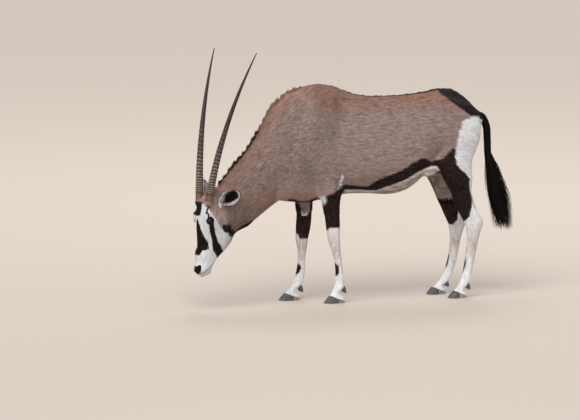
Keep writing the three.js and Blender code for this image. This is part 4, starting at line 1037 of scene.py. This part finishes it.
def ear_material():
    """Fawn outside, white inside its rim, and dark in the cup, with a black edge."""
    n = Nodes("ear")
    fine, broad = n.noise(420.0, 2.0), n.noise(90.0)
    both = n.plus(fine, broad)
    ragged = n.times(n.math("SUBTRACT", both, 1.0), 0.35)
    grain = n.ramp(both, 0.7, 1.3)
    inner = n.mix(n.ramp(n.plus(n.attribute("rim"), ragged), 0.44, 0.62), EAR_CUP, n.mix(grain, *WHITE))
    colour = n.mix(n.ramp(n.attribute("inner"), 0.4, 0.6), n.mix(grain, *EAR_BACK), inner)
    edge = n.ramp(n.plus(n.attribute("edge"), n.times(ragged, 0.3)), 0.5, 0.6)
    bump = n.bump(fine, 0.002, 0.6)
    colour = n.mix(edge, colour, n.mix(grain, *BLACK))
    return n.finish(Base_Color=colour, Roughness=0.8, Specular_IOR_Level=0.1, Normal=bump)


# Hair: flat blades for single strands, and flat locks of several


def copies(local, count, step):
    """Faces for many pieces alike, from those of the first."""
    faces = np.arange(count)[:, None, None] * step + np.array(local)[None]
    return faces.reshape(-1, faces.shape[-1])


def blades(roots, ways, normals, lengths, widths, lift, rows, droop=0.0):
    """Flat tapered blades. Each leaves its root, rises by lift of its length and lies over along its way."""
    sides = np.cross(ways, normals)
    lengths, widths, lift = (np.broadcast_to(v, len(roots))[:, None] for v in (lengths, widths, lift))
    points = []
    for t in np.linspace(0, 1, rows + 1):
        height = lift * lengths * (1 - (1 - t) ** 2)
        middle = roots + ways * (lengths * t) + normals * height + droop * (lengths * t * t)
        half = sides * (widths * (1 - 0.55 * t * t) / 2)
        points += [middle - half, middle + half] if t < 1 else [middle]
    step = len(points)
    local = [face for a in range(0, step - 3, 2) for face in ((a, a + 1, a + 3), (a, a + 3, a + 2))]
    local.append((step - 3, step - 2, step - 1))
    return np.stack(points, 1).reshape(-1, 3), copies(local, len(roots), step), step


def patch_uv(roots, local):
    """Each hair as a small patch where its root lies on the skin's unwrap."""
    return (bake_place(roots)[:, None] + 0.003 * np.array(local)[None]).reshape(-1, 2)


def blade_uv(roots, rows):
    return patch_uv(roots, [(i % 2, i // 2 / rows) for i in range(2 * rows)] + [(0.5, 1)])


LOCK_ROWS = 12


def locks(starts, bends, tips, flats, widths, flatness, power):
    """Flat tapered locks with four-sided sections along curves."""
    t = np.linspace(0, 1, LOCK_ROWS)[None, :, None]
    middle = (1 - t) ** 2 * starts[:, None] + 2 * t * (1 - t) * bends[:, None] + t * t * tips[:, None]
    ahead = unit(np.gradient(middle, axis=1))
    flats = unit(flats[:, None] - ahead * (flats[:, None] * ahead).sum(2, keepdims=True))
    size = (1 - 0.96 * t**power) * (0.55 + 0.45 * np.minimum(t * 4, 1)) * widths[:, None, None] / 2
    w, d = flats * size, np.cross(ahead, flats) * size * flatness
    rings = np.stack([middle + w, middle + d, middle - w, middle - d], 2)
    step = 4 * LOCK_ROWS
    local = [*tube_faces(LOCK_ROWS, 4).tolist(), (3, 2, 1, 0), tuple(range(step - 4, step))]
    return rings.reshape(-1, 3), copies(local, len(starts), step)


def tube(middles, radii, around, squash=1.0):
    """Rows of points around a smooth line."""
    ahead = unit(np.gradient(middles, axis=0))
    first, firsts = unit(np.cross(ahead[0], (0.0, 1.0, 0.2))), []
    for way in ahead:
        first = unit(first - way * np.dot(first, way))
        firsts.append(first)
    a = np.array(firsts)[:, None]
    b = np.cross(ahead, a[:, 0])[:, None]
    angle = np.linspace(0, 2 * np.pi, around, endpoint=False)[None, :, None]
    ring = a * np.cos(angle) + b * np.sin(angle) * squash
    return (middles[:, None] + ring * np.broadcast_to(radii, len(middles))[:, None, None]).reshape(-1, 3)


def tube_faces(rows, around):
    r, c = np.meshgrid(np.arange(rows - 1), np.arange(around), indexing="ij")
    a, b = r * around + c, r * around + (c + 1) % around
    return np.stack([a, b, b + around, a + around], -1).reshape(-1, 4)


def triangles(quads):
    return np.concatenate([quads[:, [0, 1, 2]], quads[:, [0, 2, 3]]])


def closed(points, around):
    """A tube's points with one more at each end, and the triangles over them all."""
    count, i = len(points), np.arange(around)
    j, end = (i + 1) % around, count - around
    first, last = np.full(around, count), np.full(around, count + 1)
    faces = [triangles(tube_faces(count // around, around)), np.stack([first, j, i], 1)]
    faces.append(np.stack([last, end + i, end + j], 1))
    points = np.concatenate([points, [points[:around].mean(0)], [points[-around:].mean(0)]])
    return points, np.concatenate(faces)


# The skin

# Numbers that each point of the coat carries; its brightness holds painted shade and light, and its tan holds
# dirt, painted shade and painted reflected light.
MARKS = ("black", "white", "tone_and_painted_light", "stain_and_painted_light", "warm")


def add_skin():
    """One closed skin, drawn finer over the head and the lower legs."""
    fine, coarse = SKIN_FINE, SKIN_COARSE
    lines = [
        steps_between([(-1216, fine), (-905, coarse), (640, 0)]),
        steps_between([(-268, fine), (-50, coarse), (268, 0)]),
        steps_between([(0, fine), (50, coarse), (194, fine), (670, coarse), (1250, 0)]),
    ]
    points, faces = surface_of(skin_field, lines)
    points = settled(skin_field, points, 2.0)
    normals = unit(gradient(skin_field, points))
    attributes = dict(zip(MARKS, markings(points)), grain=grain_of(points))
    flesh_nodes = ["torso", "neck", "head", *("leg_" + name for name in LEGS)]
    add_piece("skin", points, faces, attributes, coat_material("coat"), flesh_nodes)
    return points, faces, normals


# Eyes and lids


def on_ball(place, radius, polar, angle):
    ring = radius * np.sin(polar)
    return place.world(ring * np.sin(angle), radius * np.cos(polar), ring * np.cos(angle))


def lid_edge(angle):
    """The angle between the way the eye looks and the lids' edge, all around it."""
    return np.radians(LID_OPENING + LID_CORNER * np.abs(np.cos(angle)) ** 1.4)


def add_eye_ball(name, place, material):
    rows, around = 28, 40
    polar = np.linspace(0.04, np.pi - 0.04, rows)[:, None]
    angle = np.pi / 2 - np.linspace(0, 2 * np.pi, around, endpoint=False)[None]
    looking = np.cos(polar) + 0 * angle
    cornea = 1 + CORNEA * rise(looking, 0.72, 1) ** 1.5
    points, faces = closed(on_ball(place, EYE_RADIUS * cornea, polar, angle).reshape(-1, 3), around)
    facing = {"facing": np.append(looking.ravel(), [1, -1])}
    add_piece(f"eye_ball_{name}", points, faces, facing, material, [f"eye_{name}"])


def add_lids(name, place, material):
    """An almond ring that rests on the ball and sinks into the skin."""
    around = 56
    angle = np.linspace(0, 2 * np.pi, around, endpoint=False)
    section = [(-1, 19.2), (0, 20.5), (2, 21.8), (5, 22.6), (9, 22.6), (15, 21.4), (21, 19.3)]
    rings = [on_ball(place, radius, lid_edge(angle) + np.radians(wider), angle) for wider, radius in section]
    points = np.concatenate(rings)
    faces = triangles(tube_faces(len(section), around))
    add_piece(f"lids_{name}", points, faces, {"grain": points / 1000}, material)


def add_lashes(name, place, material):
    spots = np.linspace(0.12, 0.88, LASHES) * np.pi
    roots = on_ball(place, 22.4, lid_edge(spots) + np.radians(5), spots)
    outward = unit(roots - place.origin)
    ways = unit(place.axes[1] * 0.9 + outward * 0.5 + place.axes[0] * 0.1)
    lengths = rng.uniform(*LASH_LENGTHS, LASHES)
    points, faces, _ = blades(roots, ways, outward, lengths, LASH_WIDTH, 0.1, 3)
    add_piece(f"lashes_{name}", points, faces, {"grain": points / 1000}, material)


# Horns


def horn_line(side, t):
    """The middle of a horn by the share of its length, and its frame's back and side directions."""
    up, out, left = HEAD.axes
    lean, spread = np.radians(HORN_LEAN), np.radians(HORN_SPREAD)
    along = unit(up * np.cos(lean) - out * np.sin(lean) - left * np.sin(spread) * side)
    start = HEAD.world(390, -46, -35 * side)
    back = unit(-out - along * np.dot(-out, along))
    t = np.asarray(t)[:, None]
    middle = start + along * t * HORN_LENGTH + (back * HORN_SWEEP - left * HORN_BOW * side) * t * t
    return middle, back, np.cross(along, back)


def horn_rings(s):
    """How many rings lie below a place on the horn. They start over a smooth base and grow wider apart."""
    above = np.maximum(s - RINGS_START, 0)
    growth = (RING_LAST - RING_FIRST) / HORN_RINGS
    return (np.sqrt(RING_FIRST**2 + 2 * growth * above) - RING_FIRST) / growth


def add_horn(name, side, material):
    """A tapered horn whose rings tilt down to the back."""
    last = RINGS_START + (RING_FIRST + RING_LAST) / 2 * HORN_RINGS
    low, step = [0, 14, 30, 46], 60
    while step < last + 20:
        low.append(step)
        step += 1.1 + 1.6 * step / last
    s = np.array([*low, *np.linspace(last + 26, HORN_LENGTH, 44)])
    t = s / HORN_LENGTH
    middle, back, aside = horn_line(side, t)
    around = 30
    angle = np.linspace(0, 2 * np.pi, around, endpoint=False)
    radius = HORN_TIP_RADIUS + (HORN_BASE_RADIUS - HORN_TIP_RADIUS) * (1 - t) ** 0.85
    there = s[:, None] + np.cos(angle) * radius[:, None] * np.tan(np.radians(RING_TILT))
    there = there + 2.2 * np.sin(2 * angle + s[:, None] / 90)
    rings = horn_rings(there)
    ridge = np.abs(np.sin(np.pi * rings)) ** 0.8
    fade = rise(there, RINGS_START, RINGS_START + 12) * rise(there, last, last - 110) ** 0.7
    wobble = 1 + 0.25 * np.sin(2 * angle + 0.7) + 0.1 * np.sin(3 * angle)
    groove = 0.014 * np.sin(9 * angle)[None] * rise(t, 0.5, 0.625)[:, None]
    swell = radius[:, None] * (1 + RING_HEIGHT * fade * (ridge - 0.55) * wobble + groove)
    points = middle[:, None] + back * (np.cos(angle) * swell * 1.06)[..., None]
    points = points + aside * (np.sin(angle) * swell)[..., None]
    points, faces = closed(points.reshape(-1, 3), around)
    attributes = {
        "ring": np.append((ridge * (fade > 0.02)).reshape(-1), [0, 0]),
        "along": np.append(np.repeat(t, around), [0, 1]),
        "grain": HEAD.local(points) * (0.16, 1, 1) / 1000,
    }
    add_piece(f"horn_sheath_{name}", points, faces, attributes, material, [f"horn_{name}"])


# Ears: on the head, a root, the way the tip points and the way the cup opens
EARS = {
    "left": ((408, -146, 60), (0.43, 0.05, 0.9), (-0.3, 0.95, 0.09)),
    "right": ((396, -140, -52), (0.8, -0.1, -0.59), (-0.1, 0.95, -0.3)),
}
# By the share from root to tip: the width's share, and how far round the leaf rolls to each side in degrees
ear_width = smooth_rows(
    [(-0.12, 0.5), (0.05, 0.52), (0.3, 0.86), (0.55, 1), (0.8, 0.8), (0.94, 0.42), (1, 0.16)]
)
ear_roll = smooth_rows([(-0.12, 165), (0.1, 150), (0.35, 112), (0.7, 84), (1, 60)])


def ear_sheet(name, t, s, lift):
    """A point of the ear's leaf: t from root to tip, s from edge to edge, lift towards the cup."""
    root, points_to, faces_to = EARS[name]
    start = HEAD.world(*root)
    along = unit(np.array(points_to) @ HEAD.axes)
    opening = np.array(faces_to) @ HEAD.axes
    opening = unit(opening - along * np.dot(opening, along))
    aside = np.cross(along, opening)
    half = ear_width(t)[..., 1] * EAR_WIDTH / 2
    roll = np.radians(ear_roll(t)[..., 1])
    radius = half / np.minimum(np.sin(np.minimum(roll, np.pi / 2)), 1)
    angle = roll * s
    out = radius - lift
    ahead = along * (t * EAR_LENGTH)[..., None] + aside * (np.sin(angle) * out)[..., None]
    return start + ahead + opening * (-np.cos(angle) * out + radius * 0.35)[..., None]


def add_ear(name, material):
    rows, columns = 44, 28
    t, s = np.meshgrid(np.linspace(-0.12, 0.998, rows), np.linspace(-1, 1, columns), indexing="ij")
    taper = 1 - 0.7 * np.clip(np.abs(s) - 0.6, 0, 1) - 0.3 * np.clip(t, 0, 1)
    outer, inner = ear_sheet(name, t, s, 0 * t), ear_sheet(name, t, s, EAR_THICKNESS * taper)
    points, faces = closed(np.concatenate([outer, inner[:, ::-1]], 1).reshape(-1, 3), 2 * columns)
    rim = np.maximum(np.where(s > 0, s + 0.14, -s * 0.72), rise(t, 0.45, 1))
    edge = rise(t, 0.62, 0.82) * rise(np.abs(s), 0.72, 0.92) + rise(t, 0.93, 0.98)
    edge = np.maximum(edge, rise(s, 0.9, 1) * rise(t, 0.12, 0.22))

    def on_both(outside, inside):
        return np.append(np.concatenate([outside, inside[:, ::-1]], 1).reshape(-1), [0, 0])

    attributes = {
        "inner": on_both(0 * t, 0 * t + 1),
        "rim": on_both(rim, rim),
        "edge": on_both(edge, edge),
        "grain": HEAD.local(points) / 1000,
    }
    add_piece(f"ear_leaf_{name}", points, faces, attributes, material, [f"ear_{name}"])
    return outer, inner


# Feet

# How far the dewclaws stand behind the heel, and how high
DEWCLAWS = {"fore_left": (-3, 60), "fore_right": (8, 48), "hind_left": (10, 50), "hind_right": (7, 44)}


def add_claw(foot, label, side, material):
    """One claw, from a toe that is thin and low to a heel under the hair."""
    toe, heel, middle = FEET[foot]
    length = heel - toe
    t = (np.linspace(0.06, 1, 44) ** 1.25)[:, None] * 0.985
    angle = np.linspace(0, 2 * np.pi, 36, endpoint=False)[None] - np.pi / 2
    width = 29 * np.sin(np.pi * t**0.62) ** 0.7 + 2.4
    tall = smooth_union(4.5 + 1.02 * length * t, coronet(length, length * t) + 3.5, 8)
    up = rise(np.sin(angle), -0.35, 1) ** 0.72
    across = 0.5 + np.sign(np.cos(angle)) * np.abs(np.cos(angle)) ** 0.62 * 0.5 * (1 - 0.16 * up)
    behind = length * t + up * length * 0.03
    growth_lines = 0.35 * np.sin((behind - up * tall * 0.9) / 3.1)
    y = middle + side * (1.5 + width * across + growth_lines * (across - 0.5) * 1.2)
    points, faces = closed(vectors(toe + behind, y, up * tall).reshape(-1, 3), 36)
    pale = 58 if foot.startswith("hind") else 50
    attributes = {
        "grain": points * (1, 1, 0.3) / 1000,
        "worn": rise(points[:, 2], 8, 0),
        "heel": rise(points[:, 0] - heel, -pale, 22 - pale),
    }
    replaces = [f"claw_{foot}_{label}"]
    add_piece(f"hoof_{foot}_{label}", points, faces, attributes, material, replaces)


def add_dewclaw(foot, label, side, material):
    _, heel, middle = FEET[foot]
    behind, height = DEWCLAWS[foot]
    t = np.linspace(0, 1, 14)
    middles = np.stack([heel + behind - 8 + 13 * t, middle + side * (16 + 3 * t), height + 34 - 38 * t], 1)
    radii = 10 * np.sqrt(np.clip(1 - (t - 0.35) ** 2 / 0.44, 0.02, 1))
    points, faces = closed(tube(middles, radii, 18, 0.8), 18)
    attributes = {"grain": points / 1000, "worn": 0 * points[:, 0], "heel": 0 * points[:, 0]}
    add_piece(f"dewclaw_{foot}_{label}", points, faces, attributes, material)


def add_hooves(material):
    """Two claws and two dewclaws to a foot."""
    for foot, (_, _, middle) in FEET.items():
        for label, outer in (("outer", 1), ("inner", -1)):
            side = outer * np.sign(middle)
            add_claw(foot, label, side, material)
            add_dewclaw(foot, label, side, material)


# Hair

BLACK_HAIR = {"black": 20, "white": -50, "tone_and_painted_light": 0.1, "stain_and_painted_light": 0, "warm": 0}
WHITE_HAIR = {"black": -50, "white": 50, "tone_and_painted_light": 0.5, "stain_and_painted_light": 0, "warm": 0}


def hair_attributes(roots, step, **given):
    """The coat's numbers for blades, the same from root to tip."""
    values = dict(zip(MARKS, markings(roots)), shade=rng.uniform(0, 1, len(roots))) | given
    attributes = {key: np.repeat(np.broadcast_to(value, len(roots)), step) for key, value in values.items()}
    attributes["grain"] = np.repeat(grain_of(roots), step, axis=0)
    return attributes


def scattered(points, faces, normals, count, weight):
    """Points spread over the skin by area times weight."""
    a, b, c = (points[faces[:, i]] for i in range(3))
    area = np.linalg.norm(np.cross(b - a, c - a), axis=1) / 2
    middle = (a + b + c) / 3
    share = area * weight(middle)
    picked = rng.choice(len(faces), count, p=share / share.sum())
    u, v = rng.random((2, count, 1))
    u, v = np.where(u + v > 1, 1 - u, u), np.where(u + v > 1, 1 - v, v)
    roots = a[picked] * (1 - u - v) + b[picked] * u + c[picked] * v
    na, nb, nc = (normals[faces[picked, i]] for i in range(3))
    return roots, unit(na * (1 - u - v) + nb * u + nc * v)


def add_blades(name, material, slot, roots, ways, normals, lengths, widths, lift, rows=3, droop=0.0, **given):
    points, faces, step = blades(roots, ways, normals, lengths, widths, lift, rows, droop)
    attributes = hair_attributes(roots, step, **given)
    add_piece(name, points, faces, attributes, material, uv=blade_uv(roots, rows))


def add_short_coat(skin, material):
    """Flat-lying strokes over the body, neck and head, longer on the neck and shoulder."""
    points, faces, normals = skin
    faces = triangles(faces)

    def wanted(places):
        x, _, z = places.T
        weight = np.where((z < 520) & (x > -780), 0.35, 0.8 + 0.7 * rise(x, -300, -450) * (z > 420))
        return np.where((x < -1000) & (z < 640), 0.55, weight) * (z >= 60)

    for part in range(COAT_PIECES):
        roots, up = scattered(points, faces, normals, COAT_HAIRS, wanted)
        on_nose = (roots[:, 0] < -1000) & (HEAD.local(roots)[:, 0] < 78) & (HEAD.local(roots)[:, 1] > -30)
        keep = (from_eyes(roots) > 26) & ~(on_nose & (rng.random(len(roots)) < 0.9))
        roots, up = roots[keep], up[keep]
        x, y, z = roots.T
        neck = rise(x, -250, -450) * (z > 450)
        fine = ((z < 520) & (x > -780)) | ((x < -1000) & (z < 640))
        short, long = COAT_LENGTHS
        lengths = rng.uniform(0.75, 1.25, len(roots)) * np.where(fine, short, long + NECK_LONGER * neck)
        narrow, wide = COAT_WIDTHS
        widths = np.where(fine, narrow, wide + NECK_WIDER * neck)
        ways = lie_of(roots, up)
        sides = np.cross(ways, up)
        curl = 0.9 * (np.sin(x / 47 + y / 31) + np.sin(z / 39 - x / 83)) * 0.12 * (0.4 + neck)
        ways = unit(ways + sides * (rng.normal(0, 0.13, len(roots)) + curl)[:, None])
        lift = np.where(fine, 0.12, 0.17 + 0.05 * neck)
        roots = roots - up * 0.6
        add_blades(f"coat_{part}", material, "coat", roots, ways, up, lengths, widths, lift, rows=2)


def crest_points(along):
    """The skin's crest at places along the neck."""
    row = neck_rows(along)
    starts = NECK.world(along, row[:, 2] - 90, row[:, 3])
    return starts + NECK.axes[1] * where_skin_lies(starts, NECK.axes[1], 20, 260)[:, None]


def add_mane(material):
    """Short upright hair along the crest, dark at its tips, leaning towards the withers."""
    count, rows = MANE_HAIRS, 4
    along = rng.uniform(-170, 575, count)
    aside = rng.normal(0, 6, count)
    roots = crest_points(along) + NECK.axes[2] * aside[:, None]
    up = unit(NECK.axes[1] + NECK.axes[2] * (aside / 42)[:, None])
    back = -NECK.axes[0]
    lean = rng.uniform(0.35, 1.0, count)[:, None]
    ways = unit(up + back * lean + NECK.axes[2] * rng.normal(0, 0.1, count)[:, None])
    tufts = 0.8 + 0.45 * np.sin(along / 4.6) * np.sin(along / 13.7 + 1) + 0.2 * np.sin(along / 31)
    shorter = np.clip((along + 230) / 160, 0.35, 1) * np.clip(1 - (np.abs(aside) / 24) ** 2, 0.3, 1)
    lengths = MANE_LENGTH * shorter * tufts * rng.uniform(0.7, 1.2, count)
    roots, flat = roots - up * 3, NECK.axes[2] + 0 * roots
    points, faces, step = blades(roots, ways, flat, lengths, MANE_WIDTH, 0.0, rows, back * 0.35)
    attributes = hair_attributes(roots, step)
    share = np.tile(np.arange(step) // 2 / rows, count)
    fades = 4 - np.abs(aside) * 1.2 - 40 * rise(roots[:, 2], 950, 1040)
    attributes["black"] = (share - 0.5) * 30 + np.repeat(fades, step)
    attributes["white"] = np.full(len(points), -50.0)
    attributes["warm"] = np.maximum(attributes["warm"], 0.8)
    add_piece("mane", points, faces, attributes, material, uv=blade_uv(roots, rows))


def add_ridge(material):
    """The dark line of longer hair from the withers to the tail."""
    count = RIDGE_HAIRS
    x = rng.uniform(-430, 520, count)
    y = rng.normal(0, 1, count) * (4 + 7 * rise(x, 60, 320))
    height = where_skin_lies(vectors(x, y, 0), UPRIGHT.axes[0], 1000, 1290)
    roots = np.stack([x, y, height], 1)
    up = unit(gradient(skin_field, roots))
    ways = lie_of(roots, up)
    ways = unit(ways + vectors(0, rng.normal(0, 0.16, count), 0))
    tufts = 0.8 + 0.45 * np.sin(x / 8.3) * np.sin(x / 21 + 2)
    lengths = rng.uniform(*RIDGE_LENGTHS, count) * tufts
    lift = rng.uniform(0.2, 0.5, count) * np.clip((520 - x) / 120, 0.3, 1)
    black = 7.0 - rise(x, -290, -420) * 30 - rise(np.abs(y), 9, 15) * 16 * (x < 150)
    shape = (roots - up, ways, up, lengths, BACK_WIDTH, lift)
    add_blades("dorsal_ridge", material, "black_hair", *shape, black=black)


# Tail

# Where the tuft's lowest locks end
WISPS = np.array([(734, -6, 356), (712, 4, 372), (692, -2, 366), (676, 5, 384)])
# The tail's middle in (x, z) by its share, and half the tuft's length, its x and half its width by its height
tail_middle = smooth_rows([
    (0, 540, 1030), (0.17, 578, 1008), (0.36, 602, 960), (0.58, 609, 890), (0.8, 612, 820), (1, 618, 745),
])
tuft_rows = smooth_rows([
    (360, 10, 706, 4), (414, 34, 700, 14), (488, 46, 684, 20), (568, 56, 668, 24),
    (674, 48, 645, 24), (763, 28, 622, 20), (834, 16, 611, 15), (900, 14, 609, 14),
])


def add_dock(material):
    """The tail under its hair."""
    t = np.linspace(0, 1, 60)
    x, z = tail_middle(t)[:, 1:].T
    points, faces = closed(tube(vectors(x, 0, z), 20.5 - 8 * t, 24), 24)
    attributes = {key: np.full(len(points), float(value)) for key, value in BLACK_HAIR.items()}
    attributes["grain"] = points * (1, 1, 0.2) / 1000
    add_piece("tail_dock", points, faces, attributes, material, ["tail"])


def add_dock_hair(material):
    t = rng.uniform(0.02, 0.95, DOCK_HAIRS)
    angle = rng.uniform(0, 2 * np.pi, DOCK_HAIRS)[:, None]
    x, z = tail_middle(t)[:, 1:].T
    slopes = np.gradient(tail_middle(np.linspace(0, 1, 200)), axis=0)[(t * 199).astype(int)]
    ahead = unit(vectors(slopes[:, 1], 0, slopes[:, 2]))
    across = np.array([0.0, 1.0, 0.0])
    outward = np.cross(ahead, across) * np.cos(angle) + across * np.sin(angle)
    roots = vectors(x, 0, z) + outward * (19 - 7.5 * t)[:, None]
    lengths = rng.uniform(*DOCK_LENGTHS, DOCK_HAIRS) + 18 * t
    ways = unit(ahead + outward * 0.08)
    shape = (roots, ways, outward, lengths, BACK_WIDTH, 0.16)
    add_blades("tail_hair", material, "black_hair", *shape, **BLACK_HAIR)


def add_locks(name, material, starts, bends, ends, flats, widths, flatness, power, replaces=()):
    points, faces = locks(starts, bends, ends, flats, widths, flatness, power)
    attributes = hair_attributes(starts, 4 * LOCK_ROWS, **BLACK_HAIR)
    attributes["grain"] = points * (1, 1, 0.08) / 1000
    local = [(i % 4 / 3, i // 4 / (LOCK_ROWS - 1)) for i in range(4 * LOCK_ROWS)]
    uv = patch_uv(starts, local)
    add_piece(name, points, faces, attributes, material, replaces, uv)


def add_tuft(material):
    """The tail's tuft: long locks that overlap and part at their tips."""
    count = TUFT_LOCKS
    turn = np.arange(count) * GOLDEN_ANGLE
    order = np.sqrt((np.arange(count) + 0.5) / count)
    root_height = 850 - 240 * rng.random(count) ** 1.2
    tips = np.clip(root_height - rng.uniform(*LOCK_DROP, count), 356, 640)
    loose = rng.random(count) < 0.16
    # The longest locks gather in a few wisps
    wisp = WISPS[rng.integers(0, len(WISPS), count)]
    low = (tips < 440) & ~loose
    tips = np.where(low, wisp[:, 2] + rng.uniform(0, 46, count), tips)

    def ring(height, share):
        _, half, middle, thick = tuft_rows(height).T
        return vectors(middle + np.cos(turn) * half * share, np.sin(turn) * thick * share * 1.15, height)

    starts = ring(root_height, 0.45 * order)
    bends = ring((root_height + tips) / 2, 0.55 + 0.75 * order)
    ends = ring(tips, 0.35 + 0.85 * order)
    gathered = wisp[:, :2] + rng.normal(0, 2.2, (count, 2))
    ends[:, :2] = np.where(low[:, None], gathered, ends[:, :2])
    flare = rng.uniform(14, 40, count) * loose
    ends[:, 0] = np.minimum(ends[:, 0] + flare * np.where(rng.random(count) < 0.8, 1, -0.5), TAIL_REACH)
    flats = vectors(-np.sin(turn), np.cos(turn), 0)
    widths = rng.uniform(*LOCK_WIDTHS, count) * np.where(loose, 0.45, 1)
    add_locks("tail_locks", material, starts, bends, ends, flats, widths, 0.4, 2.2, ["tail_tuft"])


def add_wisps(material):
    """Thin locks that stand off behind the tuft."""
    count = TUFT_WISPS
    root_height = rng.uniform(560, 790, count)
    _, half, middle, thick = tuft_rows(root_height).T
    x = middle + half * rng.uniform(0.2, 0.8, count)
    starts = np.stack([x, rng.uniform(-1, 1, count) * thick * 0.6, root_height], 1)
    reach = rng.uniform(90, 190, count)
    bends = starts + vectors(reach * 0.42, 0, -reach * 0.35)
    ends = starts + vectors(reach * 0.42, rng.normal(0, 5, count), -reach * 1.05)
    ends[:, 0] = np.minimum(ends[:, 0] + rng.uniform(-10, 16, count), TAIL_REACH)
    bends[:, 0] = np.minimum(bends[:, 0], TAIL_REACH + 4)
    ends[:, 2] = np.maximum(ends[:, 2], 372)
    flats = np.tile([0.3, 1.0, 0.0], (count, 1))
    widths = rng.uniform(*WISP_WIDTHS, count)
    add_locks("tail_wisps", material, starts, bends, ends, flats, widths, 0.6, 2.0)


def add_strands(material):
    """Loose single hairs over the locks."""
    count = TUFT_HAIRS
    turn = rng.uniform(0, 2 * np.pi, count)
    root_height = 840 - 330 * rng.random(count)
    _, half, middle, thick = tuft_rows(root_height).T
    roots = np.stack([middle + np.cos(turn) * half * 0.8, np.sin(turn) * thick * 0.8, root_height], 1)
    outward = vectors(np.cos(turn), np.sin(turn), 0)
    ways = (0.22, 0, -0.97) + outward * rng.uniform(0.0, 0.17, count)[:, None]
    ways = unit(ways + rng.normal(0, 0.03, (count, 3)))
    room = (TAIL_REACH - 2 - roots[:, 0]) / np.maximum(ways[:, 0] + 0.05, 0.02)
    lengths = np.min([rng.uniform(*STRAND_LENGTHS, count), (root_height - 360) * 0.96, room], 0)
    shape = (roots, ways, outward, lengths, STRAND_WIDTH, 0.02, 6, np.array([0.05, 0, -0.02]))
    add_blades("tail_strands", material, "black_hair", *shape, **BLACK_HAIR)


def add_ear_hair(name, outer, inner, material):
    """White hair inside the cup's rim."""
    count = EAR_HAIRS
    rows, columns = outer.shape[:2]
    r = rng.integers(int(rows * 0.16), int(rows * 0.93), count)
    first = rng.random(count) < 0.5
    inset = 1 + (rng.random(count) ** 2 * 4).astype(int)
    c = np.where(first, inset, columns - 1 - inset)
    roots = inner[r, c]
    up = unit(roots - outer[r, c])
    along = unit(inner[np.minimum(r + 1, rows - 1), c] - roots)
    inward = unit(inner[r].mean(1) - roots)
    ways = unit(along * 0.9 + inward * rng.uniform(0.1, 0.7, count)[:, None] + up * 0.1)
    shape = (roots - up, ways, up, rng.uniform(*EAR_LENGTHS, count), WHITE_WIDTH, 0.18)
    add_blades(f"ear_hair_{name}", material, "coat", *shape, **WHITE_HAIR)


def add_elbow_hair(material):
    """The pale hair behind each elbow."""
    count = ELBOW_HAIRS
    for name, side in SIDES.items():
        t = rng.random(count)
        z = 742 - 84 * t
        apart = leg_middle("fore_right", z)[0] - leg_middle("fore_left", z)[0]
        x = -318 - 22 * t + 0.6 * apart * (side == RIGHT)
        out = where_skin_lies(vectors(x, 0, z), np.array([0, side, 0]), 0, 240, 16)
        roots = np.stack([x + rng.normal(0, 4, count), out * side, z], 1)
        up = unit(gradient(skin_field, roots))
        ways = unit(lie_of(roots, up) * 0.6 + np.array([0.35, 0, -0.8]) + rng.normal(0, 0.2, (count, 3)))
        shape = (roots, ways, up, rng.uniform(*ELBOW_LENGTHS, count), WHITE_WIDTH, 0.1)
        add_blades(f"elbow_hair_{name}", material, "coat", *shape, **WHITE_HAIR)


# The whole

add_camera()
add_studio()
hair = coat_material("hair", strands=True)
skin = add_skin()
eye_look, lid_look, horn_look, ear_look = eye_material(), lid_material(), horn_material(), ear_material()
for name, side in SIDES.items():
    add_eye_ball(name, eye_frames[side], eye_look)
    add_lids(name, eye_frames[side], lid_look)
    add_lashes(name, eye_frames[side], lid_look)
    add_horn(name, side, horn_look)
    add_ear_hair(name, *add_ear(name, ear_look), hair)
add_hooves(hoof_material())
add_short_coat(skin, hair)
add_mane(hair)
add_ridge(hair)
add_elbow_hair(hair)
add_dock(coat_material("tail_skin"))
add_dock_hair(hair)
add_tuft(hair)
add_wisps(hair)
add_strands(hair)
